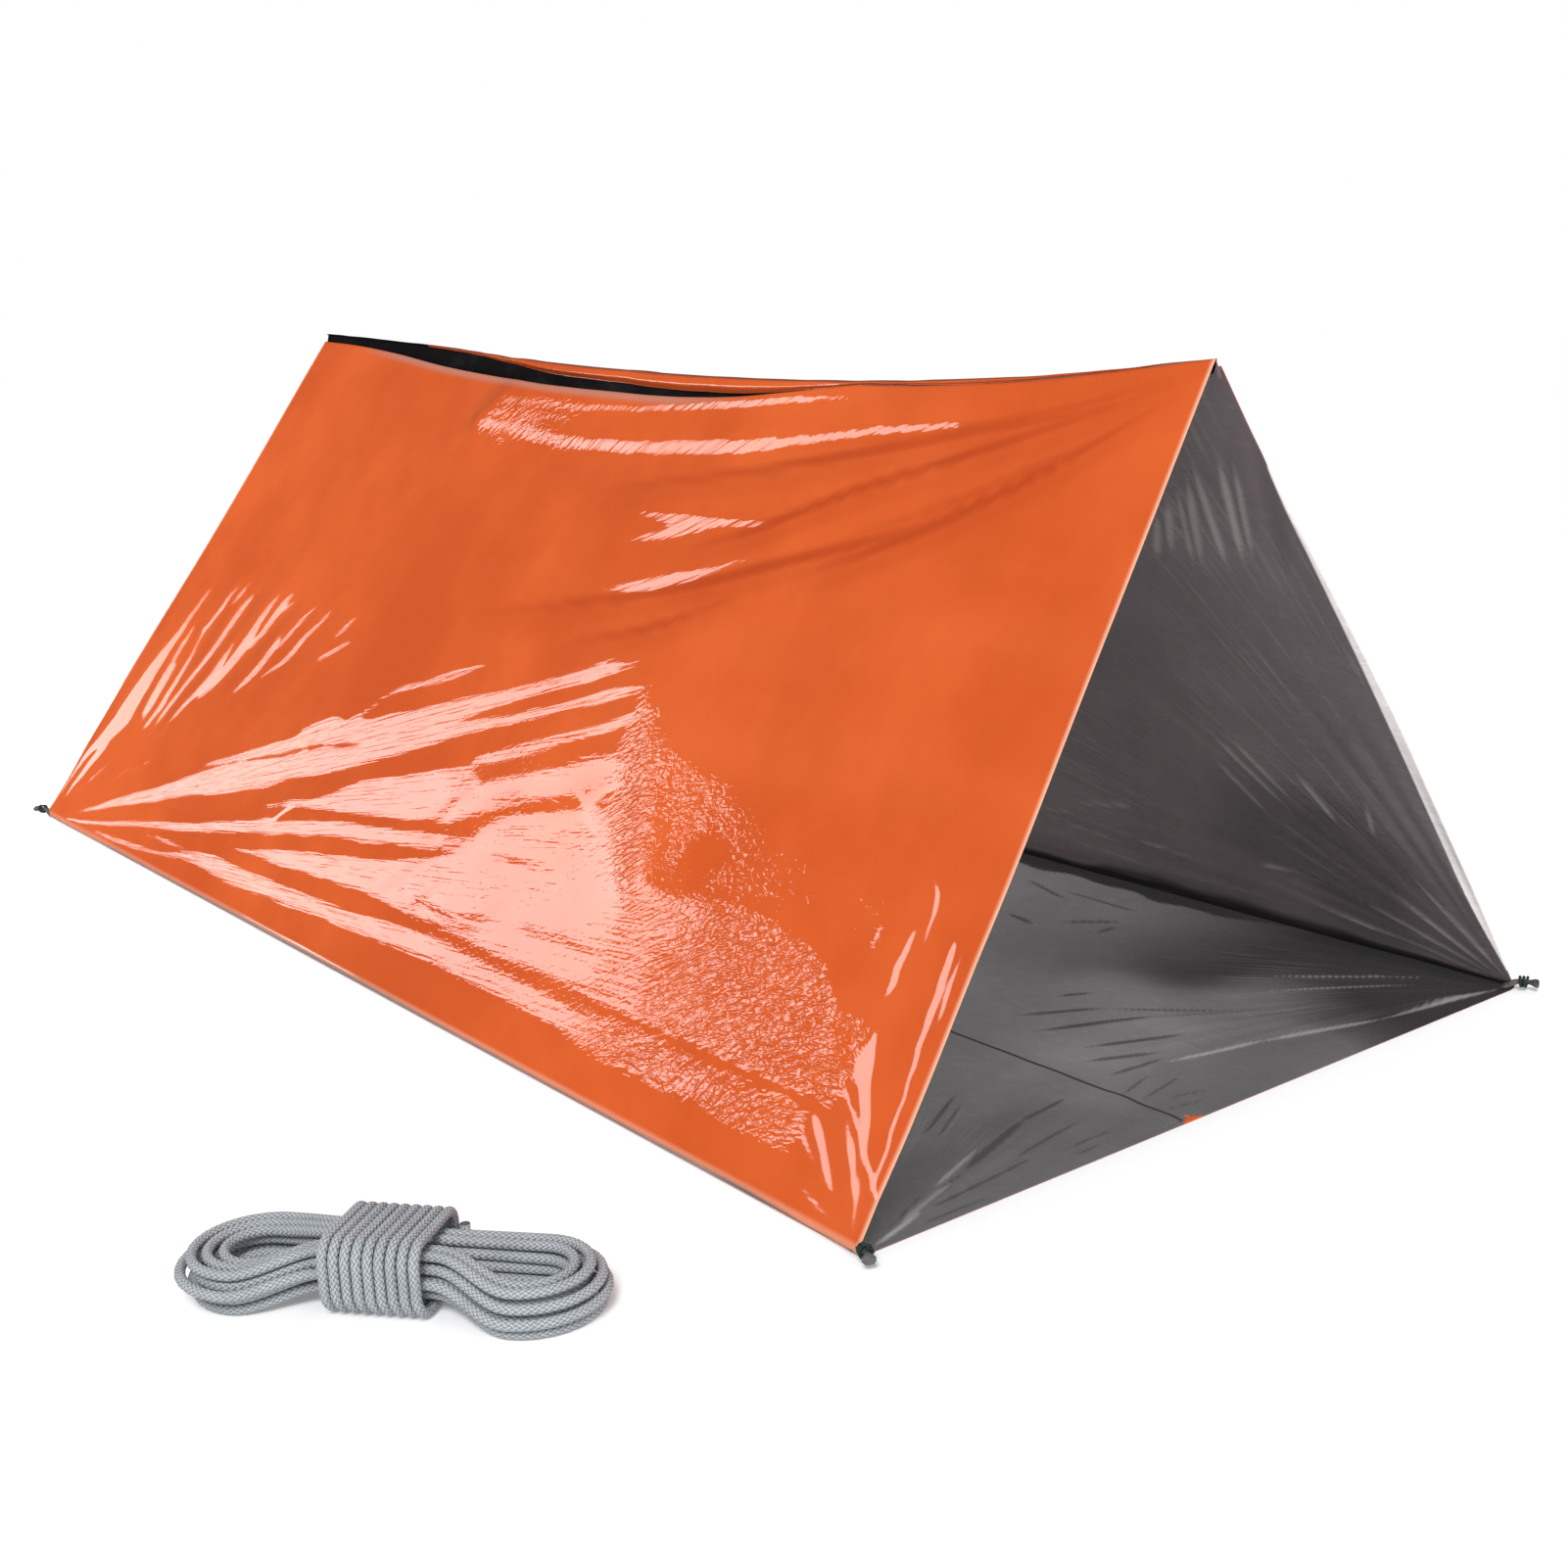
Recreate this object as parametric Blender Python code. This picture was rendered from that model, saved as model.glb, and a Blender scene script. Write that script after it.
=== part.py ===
# Emergency tube tent: one tube of thin film pitched as a triangular tunnel, open at both ends,
# with a tied hank of cord lying beside it. Metres, +Z up, origin on the ground under the middle
# of the tent. The open front faces -Y, and the left wall is the one at -X.
import math

import bmesh
import bpy
import numpy as np
from mathutils import Vector

# Tent: a tube 3.06 m round, which is a lay-flat sleeve 1.53 m wide
TENT_LENGTH = 2.40
FLOOR_WIDTH = 1.08
RIDGE_HEIGHT = 0.83
RIDGE_FRONT = -1.172
RIDGE_BACK = 1.056
RIDGE_SAG = 0.040
SAG_SKEW = 1.6
WALL_FILM = 0.0008
FLOOR_FILM = 0.0015
HINGE_HEIGHT = 0.003
FOLD_GAP = 0.004

# Wall folds, as depths out of the wall plane
SKIRT_BULGE = 0.006
WALL_FOLD = 0.012
BACK_FOLDS = 9.0
FRONT_FOLDS = 8.0
BACK_REACH = 1.4
FRONT_REACH = 0.8
CREASE_FLAT = 0.06
COLUMNS = 24
LOWER_ROWS = 4
UPPER_ROWS = 9

# Seam, ridge and corner ties
SEAM_X = -0.10
SEAM_WIDTH = 0.030
SEAM_FILM = 0.0008
CLEARANCE = 0.0003
RIDGE_ROLL = 0.005
ROLL_CLEAR = 0.007
GATHER_LENGTH = 0.034
GATHER_NECK = 0.0035
GATHER_END = 0.0075
GATHER_PROFILE = ((0.00, 0.75), (0.25, 1.0), (0.42, 1.0), (0.60, 1.3), (0.80, 2.1), (1.00, 1.7))
GATHER_SIDES = 12
GATHER_PLEAT = 0.18
GATHER_TURN = math.radians(63.3)
TIE_CORD = 0.0040
TIE_TURNS = 3
TIE_POINTS = 8
TIE_SLACK = 0.0006

# Cord hank: 11 loops in four layers, drawn in at the waist under nine turns. Its sizes follow
# from the cord's diameter.
CORD = 0.010
HANK_LENGTH = 41.6 * CORD
LAYERS = 4
TURNS_IN_LAYER = 3
LOOP_POINTS = 24
WAIST_STEP = 1.17 * CORD
END_STEP = 1.43 * CORD
LAYER_STEP = 1.14 * CORD
END_RADIUS = 3.25 * CORD
REVERSAL = 0.25
RUN_SHARE = 0.34
WAIST_HALF = 5.2 * CORD
STUB = 3.7 * CORD
HANK_TURNS = 11.17
WRAP_TURNS = 9
WRAP_POINTS = 16
WRAP_STEP = 1.1 * CORD
WRAP_CORNER = 2.0 * CORD
WRAP_CLEAR = 1.28 * CORD
HANK_PLACE = (-0.90, -0.965)
HANK_TURN = math.radians(-51.0)
LEAST_GAP = 0.0004

# Sizes that follow
WALL = math.hypot(FLOOR_WIDTH / 2, RIDGE_HEIGHT)
CREASE = (WALL - FLOOR_WIDTH / 2) / 2
HALF_LENGTH = TENT_LENGTH / 2
RUN_HALF = HANK_LENGTH / 2 - CORD / 2 - END_RADIUS - (TURNS_IN_LAYER - 0.5) * END_STEP

# Colours, linear RGB
FILM_ORANGE = (0.76, 0.12, 0.027)
FILM_GREY = (0.10, 0.085, 0.085)
CORD_GREY = (0.31, 0.33, 0.35)
TIE_DARK = (0.018, 0.028, 0.025)


def clear_scene():
    for obj in list(bpy.data.objects):
        bpy.data.objects.remove(obj, do_unlink=True)


def plain_material(name, color, roughness, metallic=0.0):
    material = bpy.data.materials.new(name)
    material.use_nodes = True
    shader = material.node_tree.nodes["Principled BSDF"]
    shader.inputs["Base Color"].default_value = (*color, 1.0)
    shader.inputs["Roughness"].default_value = roughness
    shader.inputs["Metallic"].default_value = metallic
    return material


def add_object(name, data, material, place=(0, 0, 0), parent=None):
    obj = bpy.data.objects.new(name, data)
    bpy.context.collection.objects.link(obj)
    obj.data.materials.append(material)
    obj.location = place
    if parent:
        obj.parent = parent
        obj.location = Vector(place) - parent.location
    return obj


def add_axis(name, place):
    empty = bpy.data.objects.new(name, None)
    bpy.context.collection.objects.link(empty)
    empty.location = place
    return empty


def smooth_step(value):
    value = min(max(value, 0.0), 1.0)
    return value * value * (3 - 2 * value)


# Film walls

def ridge_drop(share):
    # The ridge hangs as a shallow curve, lowest nearer the front. share is 0 at the front.
    lowest = 1 / (1 + SAG_SKEW)
    return RIDGE_SAG * share / lowest * ((1 - share) / (1 - lowest)) ** SAG_SKEW


def ridge_point(share, height):
    return Vector((0, RIDGE_FRONT + (RIDGE_BACK - RIDGE_FRONT) * share,
                   height - ridge_drop(share)))


def wall_relief(height, y, side):
    # Folds fan out of the back and front ground corners and die out at the edges and the crease.
    back = math.atan2(height, HALF_LENGTH - y)
    front = math.atan2(height, HALF_LENGTH + y)
    back_fade = math.exp(-math.hypot(height, HALF_LENGTH - y) / BACK_REACH)
    front_fade = math.exp(-math.hypot(height, HALF_LENGTH + y) / FRONT_REACH)
    fans = math.sin(BACK_FOLDS * back + side) * back_fade
    fans += math.sin(FRONT_FOLDS * front) * front_fade
    edges = math.sin(math.pi * min(height / WALL, 1.0))
    crease = 1 - math.exp(-(((height - CREASE) / CREASE_FLAT) ** 2))
    relief = WALL_FOLD * fans * edges * crease
    if height < CREASE:
        relief += SKIRT_BULGE * math.sin(math.pi * height / CREASE)
    return relief


def wall_panel(name, side, start, end, rows, columns, axis, material):
    # side is -1 at the left and +1 at the right. start and end are distances up the wall from
    # the ground line; an end at WALL means the ridge, which sags. The ridge is shorter than the
    # floor, so a column leans in more the higher it goes.
    along = Vector((-side * FLOOR_WIDTH / 2, 0, RIDGE_HEIGHT)).normalized()
    outward = Vector((side * RIDGE_HEIGHT, 0, FLOOR_WIDTH / 2)).normalized()
    foot = Vector((side * FLOOR_WIDTH / 2, 0, HINGE_HEIGHT))
    mesh = bmesh.new()
    grid = []
    for column in range(columns + 1):
        length_share = column / columns
        y = -HALF_LENGTH + TENT_LENGTH * length_share
        ridge = ridge_point(length_share, RIDGE_HEIGHT + HINGE_HEIGHT)
        low = foot + along * start
        high = ridge - along * ROLL_CLEAR if end >= WALL else foot + along * end
        line = []
        for row in range(rows + 1):
            share = row / rows
            height = start + (end - start) * share
            point = low.lerp(high, share) + outward * wall_relief(height, y, side)
            point.y = y + (ridge.y - y) * height / WALL
            line.append(mesh.verts.new(point - axis.location))
        grid.append(line)
    for column in range(columns):
        for row in range(rows):
            mesh.faces.new((grid[column][row], grid[column + 1][row],
                            grid[column + 1][row + 1], grid[column][row + 1]))
    bmesh.ops.triangulate(mesh, faces=mesh.faces)
    data = bpy.data.meshes.new(name)
    mesh.to_mesh(data)
    mesh.free()
    data.shade_smooth()
    panel = add_object(name, data, material, place=axis.location, parent=axis)
    film = panel.modifiers.new("Film", "SOLIDIFY")
    film.thickness = WALL_FILM
    film.offset = 0.0
    return panel


def film_slab(name, x, width, length, bottom, thickness, material):
    mesh = bmesh.new()
    bmesh.ops.create_cube(mesh, size=1.0)
    bmesh.ops.scale(mesh, vec=(width, length, thickness), verts=mesh.verts)
    data = bpy.data.meshes.new(name)
    mesh.to_mesh(data)
    mesh.free()
    return add_object(name, data, material, place=(x, 0, bottom + thickness / 2))


def tube(name, points, radius, resolution, material, place=(0, 0, 0), parent=None):
    curve = bpy.data.curves.new(name, "CURVE")
    curve.dimensions = "3D"
    curve.bevel_depth = radius
    curve.bevel_resolution = resolution
    curve.use_fill_caps = True
    spline = curve.splines.new("POLY")
    spline.points.add(len(points) - 1)
    for target, point in zip(spline.points, points):
        target.co = (*point, 1.0)
    return add_object(name, curve, material, place=place, parent=parent)


def ridge_roll(axis, material):
    points = [ridge_point(step / COLUMNS, 0) for step in range(COLUMNS + 1)]
    return tube("ridge_roll", points, RIDGE_ROLL, 2, material, place=axis.location, parent=axis)


# Ground corners: the film is drawn into a short tail and tied

def corner_frame(side, end):
    outward = Vector((math.cos(GATHER_TURN) * side, math.sin(GATHER_TURN) * end, 0))
    across = Vector((-outward.y, outward.x, 0))
    start = Vector((side * FLOOR_WIDTH / 2, end * (HALF_LENGTH + CLEARANCE + GATHER_NECK),
                    GATHER_END + TIE_CORD))
    return start, outward, across


def corner_gather(name, side, end, material):
    # A turned profile: flared foot, tied neck, pleated tail.
    start, outward, across = corner_frame(side, end)
    mesh = bmesh.new()
    rings = []
    for share, swell in GATHER_PROFILE:
        ring = []
        for side_index in range(GATHER_SIDES):
            angle = 2 * math.pi * side_index / GATHER_SIDES
            pleat = 1 - GATHER_PLEAT * (side_index % 2) * share
            radius = GATHER_NECK * swell * pleat
            offset = across * math.cos(angle) + Vector((0, 0, math.sin(angle)))
            ring.append(mesh.verts.new(start + outward * GATHER_LENGTH * share + offset * radius))
        rings.append(ring)
    for first, second in zip(rings, rings[1:]):
        for index in range(GATHER_SIDES):
            following = (index + 1) % GATHER_SIDES
            mesh.faces.new((first[index], first[following], second[following], second[index]))
    mesh.faces.new(rings[0])
    mesh.faces.new(rings[-1])
    bmesh.ops.triangulate(mesh, faces=mesh.faces)
    bmesh.ops.recalc_face_normals(mesh, faces=mesh.faces)
    data = bpy.data.meshes.new(name)
    mesh.to_mesh(data)
    mesh.free()
    return add_object(name, data, material)


def corner_tie(name, side, end, material):
    # Three turns of thin cord round the neck of the gathered film.
    start, outward, across = corner_frame(side, end)
    radius = GATHER_NECK + CLEARANCE + TIE_CORD / 2 + TIE_SLACK
    pitch = TIE_CORD + 2 * LEAST_GAP
    first = start + outward * (TIE_CORD / 2 + CLEARANCE + TIE_SLACK)
    points = []
    for index in range((TIE_TURNS - 1) * TIE_POINTS + 1):
        angle = 2 * math.pi * index / TIE_POINTS + math.pi / 2
        offset = across * math.cos(angle) + Vector((0, 0, math.sin(angle)))
        points.append(first + outward * pitch * index / TIE_POINTS + offset * radius)
    return tube(name, points, TIE_CORD / 2, 1, material)


# Cord hank

def hank_radial(turns):
    # Step number out from the middle: in, out, in and out again. In the half turn of each
    # reversal the cord swings a little past the last step, clear of the turn beside it.
    layer, within = divmod(turns, TURNS_IN_LAYER)
    spiral = min(within, TURNS_IN_LAYER - 0.5)
    spiral += REVERSAL * math.sin(math.pi * max(within - spiral, 0.0) / 0.5)
    return spiral if layer % 2 else TURNS_IN_LAYER - 0.5 - spiral


def hank_layer(turns):
    # The climb to the next layer takes the half turn where the spiral reverses.
    layer, within = divmod(turns, TURNS_IN_LAYER)
    return layer + smooth_step((within - (TURNS_IN_LAYER - 0.5)) / 0.5)


def waist_share(x):
    return smooth_step((abs(x) - WAIST_HALF) / (RUN_HALF - WAIST_HALF))


def wrap_section():
    # Half width and half height of the turns round the waist, over the corner strands.
    bundle_width = WAIST_STEP * TURNS_IN_LAYER
    bundle_height = LAYER_STEP * (LAYERS - 1) / 2
    inset = (WRAP_CORNER - WRAP_CLEAR) / math.sqrt(2)
    return bundle_width - inset + WRAP_CORNER, bundle_height - inset + WRAP_CORNER


def hank_point(turns):
    # One turn is a run toward +x, the fold there, a run back and the other fold.
    share = turns % 1.0
    radial = hank_radial(turns)
    end_width = END_RADIUS + END_STEP * radial
    waist_width = WAIST_STEP * (0.5 + radial)
    fold = 0.5 - RUN_SHARE
    half, local = (1, share) if share < 0.5 else (-1, share - 0.5)
    if local < RUN_SHARE:
        x = half * RUN_HALF * (2 * local / RUN_SHARE - 1)
        width = waist_width + (end_width - waist_width) * waist_share(x)
        y = half * width
    else:
        angle = math.pi * (local - RUN_SHARE) / fold
        x = half * (RUN_HALF + end_width * math.sin(angle))
        y = half * end_width * math.cos(angle)
    height = wrap_section()[1]
    waist_low = CORD / 2 + height - LAYER_STEP * (LAYERS - 1) / 2
    low = waist_low + (CORD / 2 - waist_low) * waist_share(x)
    return Vector((x, y, low + LAYER_STEP * hank_layer(turns)))


def hank_points():
    # The cord starts in a stub that sticks out past the folds, and ends under the waist turns.
    count = round(HANK_TURNS * LOOP_POINTS)
    points = [hank_point(HANK_TURNS * index / count) for index in range(count + 1)]
    stub = Vector((-STUB, 0, 0))
    return [points[0] + stub, points[0] + stub / 2] + points


def wrap_points():
    # Turns round the waist, each a rectangle with round corners, stepping along the hank.
    half_width, half_height = wrap_section()
    centre = CORD / 2 + half_height
    flat_width = half_width - WRAP_CORNER
    flat_height = half_height - WRAP_CORNER
    points = []
    for index in range(WRAP_TURNS * WRAP_POINTS + 1):
        angle = 2 * math.pi * (index + 0.5) / WRAP_POINTS
        y = flat_width * math.copysign(1, math.cos(angle)) + WRAP_CORNER * math.cos(angle)
        z = flat_height * math.copysign(1, math.sin(angle)) + WRAP_CORNER * math.sin(angle)
        x = WRAP_STEP * (index / WRAP_POINTS - WRAP_TURNS / 2)
        points.append(Vector((x, y, centre + z)))
    return points


def dense(points, parts=6):
    steps = np.arange(parts) / parts
    array = np.array([tuple(point) for point in points])
    return (array[:-1, None] + (array[1:] - array[:-1])[:, None] * steps[:, None]).reshape(-1, 3)


def report_gaps(loops, wrap):
    for name, first, second in (("hank", loops, loops), ("wrap", wrap, wrap),
                                ("hank to wrap", loops, wrap)):
        one, other = dense(first), dense(second)
        apart = np.linalg.norm(one[:, None] - other[None], axis=2)
        if first is second:
            length = np.concatenate([[0], np.cumsum(np.linalg.norm(np.diff(one, axis=0), axis=1))])
            apart[np.abs(length[:, None] - length[None]) < 4 * CORD] = np.inf
        gap = apart.min() - CORD
        print(f"{name}: least gap {gap * 1000:.2f} mm, clear {gap > LEAST_GAP}")
    for name, points in (("hank", loops), ("wrap", wrap)):
        steps = np.diff(np.array([tuple(point) for point in points]), axis=0)
        print(f"{name}: cord length {np.linalg.norm(steps, axis=1).sum():.3f} m")


def place_hank(points):
    turn = np.array([[math.cos(HANK_TURN), -math.sin(HANK_TURN)],
                     [math.sin(HANK_TURN), math.cos(HANK_TURN)]])
    placed = []
    for point in points:
        x, y = turn @ np.array([point.x, point.y])
        placed.append((x, y, point.z))
    return placed


def build():
    clear_scene()
    film = plain_material("orange_film", FILM_ORANGE, 0.30)
    floor_film = plain_material("grey_film", FILM_GREY, 0.35)
    seam_film = plain_material("seam_film", FILM_GREY, 0.45)
    roll_film = plain_material("ridge_film", FILM_ORANGE, 0.35)
    tail_film = plain_material("gathered_film", FILM_GREY, 0.40)
    tie_cord = plain_material("tie_cord", TIE_DARK, 0.70)
    hank_cord = plain_material("hank_cord", CORD_GREY, 0.75)
    wrap_cord = plain_material("wrap_cord", CORD_GREY, 0.75)

    film_slab("floor_sheet", 0, FLOOR_WIDTH - 2 * FOLD_GAP, TENT_LENGTH, 0, FLOOR_FILM,
              floor_film)
    film_slab("floor_lap_seam", SEAM_X, SEAM_WIDTH, TENT_LENGTH - 0.01,
              FLOOR_FILM + CLEARANCE, SEAM_FILM, seam_film)

    ridge_axis = add_axis("ridge_axis", (0, 0, RIDGE_HEIGHT + HINGE_HEIGHT))
    for word, side in (("left", -1), ("right", 1)):
        foot = Vector((side * FLOOR_WIDTH / 2, 0, HINGE_HEIGHT))
        along = Vector((-side * FLOOR_WIDTH / 2, 0, RIDGE_HEIGHT)).normalized()
        base_axis = add_axis(f"{word}_base_axis", foot)
        crease_axis = add_axis(f"{word}_crease_axis", foot + along * CREASE)
        lower_axis, upper_axis = (base_axis, crease_axis) if side < 0 else (crease_axis, ridge_axis)
        wall_panel(f"{word}_wall_lower", side, FOLD_GAP, CREASE - FOLD_GAP, LOWER_ROWS, COLUMNS,
                   lower_axis, film)
        wall_panel(f"{word}_wall_upper", side, CREASE + FOLD_GAP, WALL, UPPER_ROWS, COLUMNS,
                   upper_axis, film)
    ridge_roll(ridge_axis, roll_film)

    for word, side in (("left", -1), ("right", 1)):
        for end_word, end in (("front", -1), ("back", 1)):
            corner_gather(f"corner_gather_{end_word}_{word}", side, end, tail_film)
            corner_tie(f"corner_tie_{end_word}_{word}", side, end, tie_cord)

    loops, wrap = hank_points(), wrap_points()
    report_gaps(loops, wrap)
    hank_place = add_axis("hank_place", (*HANK_PLACE, 0))
    tube("cord_hank", place_hank(loops), CORD / 2, 1, hank_cord, hank_place.location, hank_place)
    tube("cord_waist_wrap", place_hank(wrap), CORD / 2, 1, wrap_cord, hank_place.location,
         hank_place)


build()
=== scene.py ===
# Looks of the tube tent: thin glossy film, orange outside and dark grey inside, pitched as a
# tunnel that is open at both ends, with a hank of grey braided cord beside it.
import math

import bmesh
import bpy
import numpy as np
from mathutils import Matrix, Vector


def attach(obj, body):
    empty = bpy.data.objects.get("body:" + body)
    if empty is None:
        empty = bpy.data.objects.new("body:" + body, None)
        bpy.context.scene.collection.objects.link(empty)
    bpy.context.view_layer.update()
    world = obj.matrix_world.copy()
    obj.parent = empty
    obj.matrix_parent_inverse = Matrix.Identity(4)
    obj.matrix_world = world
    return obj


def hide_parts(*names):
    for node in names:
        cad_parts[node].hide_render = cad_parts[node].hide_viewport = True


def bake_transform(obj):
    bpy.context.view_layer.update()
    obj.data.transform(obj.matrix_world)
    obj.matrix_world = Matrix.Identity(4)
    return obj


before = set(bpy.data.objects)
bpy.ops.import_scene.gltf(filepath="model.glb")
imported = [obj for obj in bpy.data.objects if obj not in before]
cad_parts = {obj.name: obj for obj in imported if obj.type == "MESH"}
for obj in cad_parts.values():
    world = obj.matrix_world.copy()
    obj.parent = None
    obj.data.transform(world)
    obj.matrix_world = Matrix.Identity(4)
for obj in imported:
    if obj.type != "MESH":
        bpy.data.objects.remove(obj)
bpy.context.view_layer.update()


# Shader maths: a wire is one output socket, and an expression on wires adds Math nodes

class Wire:
    def __init__(self, recipe, output):
        self.recipe = recipe
        self.output = output

    def maths(self, operation, *others):
        values = {index: value for index, value in enumerate((self, *others))}
        return self.recipe.add("ShaderNodeMath", {"operation": operation}, values)

    def __add__(self, other):
        return self.maths("ADD", other)

    def __sub__(self, other):
        return self.maths("SUBTRACT", other)

    def __rsub__(self, other):
        return self.maths("MULTIPLY_ADD", -1.0, other)

    def __mul__(self, other):
        return self.maths("MULTIPLY", other)

    __radd__ = __add__
    __rmul__ = __mul__

    def between(self, low, high):                 # 0 below low, 1 above high, smooth in between
        return self.recipe.add("ShaderNodeMapRange", {"interpolation_type": "SMOOTHSTEP"},
                               {0: self, 1: low, 2: high, 3: 0.0, 4: 1.0})

    def part(self, index):                        # another output of the same node
        return Wire(self.recipe, self.output.node.outputs[index])


class Recipe:
    # one material: its nodes come from add(), which takes a type, settings and socket values
    def __init__(self, name, **values):
        self.material = bpy.data.materials.new(name)
        self.material.use_nodes = True
        self.tree = self.material.node_tree
        self.shader = self.tree.nodes["Principled BSDF"]
        self.finish(**values)

    def set(self, node, values):
        for key, value in values.items():
            if isinstance(value, Wire):
                self.tree.links.new(value.output, node.inputs[key])
            else:
                node.inputs[key].default_value = value

    def add(self, kind, settings=None, values=None, output=0):
        node = self.tree.nodes.new(kind)
        for key, value in (settings or {}).items():
            setattr(node, key, value)
        self.set(node, values or {})
        return Wire(self, node.outputs[output])

    def place(self):
        return self.add("ShaderNodeTexCoord", output="Object")

    def scaled(self, vector, scale):
        return self.add("ShaderNodeMapping", {}, {"Vector": vector, "Scale": scale})

    def noise(self, vector, scale, detail=2.0, roughness=0.5, distortion=0.0):
        return self.add("ShaderNodeTexNoise", {}, {"Vector": vector, "Scale": scale, "Detail": detail,
                                                   "Roughness": roughness, "Distortion": distortion})

    def wave(self, vector, spacing, distortion, detailScale):
        return self.add("ShaderNodeTexWave", {"bands_direction": "Z"},
                        {"Vector": vector, "Scale": math.pi / (10 * spacing), "Distortion": distortion,
                         "Detail": 2.0, "Detail Scale": detailScale})

    def mix(self, share, one, other):             # colours
        return self.add("ShaderNodeMix", {"data_type": "RGBA"},
                        {0: share, 6: colour(one), 7: colour(other)}, output=2)

    def attribute(self, name):
        return self.add("ShaderNodeAttribute", {"attribute_name": name}, output="Fac")

    def bump(self, height, distance):
        return self.add("ShaderNodeBump", {}, {"Height": height, "Distance": distance})

    def plane(self, across, along):               # a vector from two numbers
        return self.add("ShaderNodeCombineXYZ", {}, {0: across, 1: along})

    def finish(self, **values):
        self.set(self.shader, {key.replace("_", " "): value for key, value in values.items()})
        return self.material


def colour(value):
    return value if isinstance(value, Wire) else (*value, 1.0)


# Camera, fitted to the tent's corners in the photograph: metres, degrees and picture pixels

view = {"place": (-1.601, -2.5487, 0.8702), "yaw": 39.47, "pitch": -12.581, "roll": -1.641,
        "focal": 2016.9, "axisX": 906.1, "axisY": 768.3, "picture": 1601}


def makeCamera():
    yaw, pitch, roll = (math.radians(view[key]) for key in ("yaw", "pitch", "roll"))
    forward = Vector((math.sin(yaw) * math.cos(pitch), math.cos(yaw) * math.cos(pitch),
                      math.sin(pitch)))
    level = Vector((math.cos(yaw), -math.sin(yaw), 0))
    above = level.cross(forward)
    right = level * math.cos(roll) + above * math.sin(roll)
    up = above * math.cos(roll) - level * math.sin(roll)
    data = bpy.data.cameras.new("camera")
    data.sensor_width = 36
    data.lens = view["focal"] * data.sensor_width / view["picture"]
    data.shift_x = (view["picture"] / 2 - view["axisX"]) / view["picture"]
    data.shift_y = (view["axisY"] - view["picture"] / 2) / view["picture"]
    camera = bpy.data.objects.new("camera", data)
    turn = Matrix((right, up, -forward)).transposed().to_4x4()
    camera.matrix_world = Matrix.Translation(view["place"]) @ turn
    bpy.context.collection.objects.link(camera)
    bpy.context.scene.camera = camera


makeCamera()
print("camera made")


# Cord hank: the same route as the CAD's, in cord diameters times the cord. run is one straight's
# share of a turn, and reversal is how far, in end steps, the cord swings out between two layers.

cord = 0.010
hank = {"length": 41.6 * cord, "layers": 4, "turnsInLayer": 3, "waistStep": 1.17 * cord,
        "endStep": 1.43 * cord, "layerStep": 1.14 * cord, "endRadius": 3.25 * cord,
        "reversal": 0.25, "waistHalf": 5.2 * cord, "stub": 3.7 * cord, "turns": 11.17, "run": 0.34,
        "wrapTurns": 9, "wrapStep": 1.1 * cord, "wrapCorner": 2.0 * cord,
        "wrapClear": 1.28 * cord, "place": (-0.90, -0.965), "turn": math.radians(-51.0),
        "loopPoints": 96, "wrapPoints": 48, "sides": 14}
runHalf = hank["length"] / 2 - cord / 2 - hank["endRadius"] \
    - (hank["turnsInLayer"] - 0.5) * hank["endStep"]


def smoothStep(value):
    value = min(max(value, 0.0), 1.0)
    return value * value * (3 - 2 * value)


def hankRadial(turns):
    layer, within = divmod(turns, hank["turnsInLayer"])
    last = hank["turnsInLayer"] - 0.5
    spiral = min(within, last)
    spiral += hank["reversal"] * math.sin(math.pi * max(within - spiral, 0.0) / 0.5)
    return spiral if layer % 2 else last - spiral


def hankLayer(turns):
    layer, within = divmod(turns, hank["turnsInLayer"])
    return layer + smoothStep((within - (hank["turnsInLayer"] - 0.5)) / 0.5)


def waistShare(x):
    return smoothStep((abs(x) - hank["waistHalf"]) / (runHalf - hank["waistHalf"]))


def wrapSection():
    inset = (hank["wrapCorner"] - hank["wrapClear"]) / math.sqrt(2)
    return (hank["waistStep"] * hank["turnsInLayer"] - inset + hank["wrapCorner"],
            hank["layerStep"] * (hank["layers"] - 1) / 2 - inset + hank["wrapCorner"])


def hankPoint(turns):
    share = turns % 1.0
    radial = hankRadial(turns)
    endWidth = hank["endRadius"] + hank["endStep"] * radial
    waistWidth = hank["waistStep"] * (0.5 + radial)
    fold = 0.5 - hank["run"]
    half, local = (1, share) if share < 0.5 else (-1, share - 0.5)
    if local < hank["run"]:
        x = half * runHalf * (2 * local / hank["run"] - 1)
        y = half * (waistWidth + (endWidth - waistWidth) * waistShare(x))
    else:
        angle = math.pi * (local - hank["run"]) / fold
        x = half * (runHalf + endWidth * math.sin(angle))
        y = half * endWidth * math.cos(angle)
    onGround = cord / 2
    waistLow = onGround + wrapSection()[1] - hank["layerStep"] * (hank["layers"] - 1) / 2
    low = waistLow + (onGround - waistLow) * waistShare(x)
    return Vector((x, y, low + hank["layerStep"] * hankLayer(turns)))


def hankPath():
    count = round(hank["turns"] * hank["loopPoints"])
    points = [hankPoint(hank["turns"] * index / count) for index in range(count + 1)]
    stub = Vector((-hank["stub"], 0, 0))
    return [points[0] + stub * (1 - index / 4) for index in range(4)] + points


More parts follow.
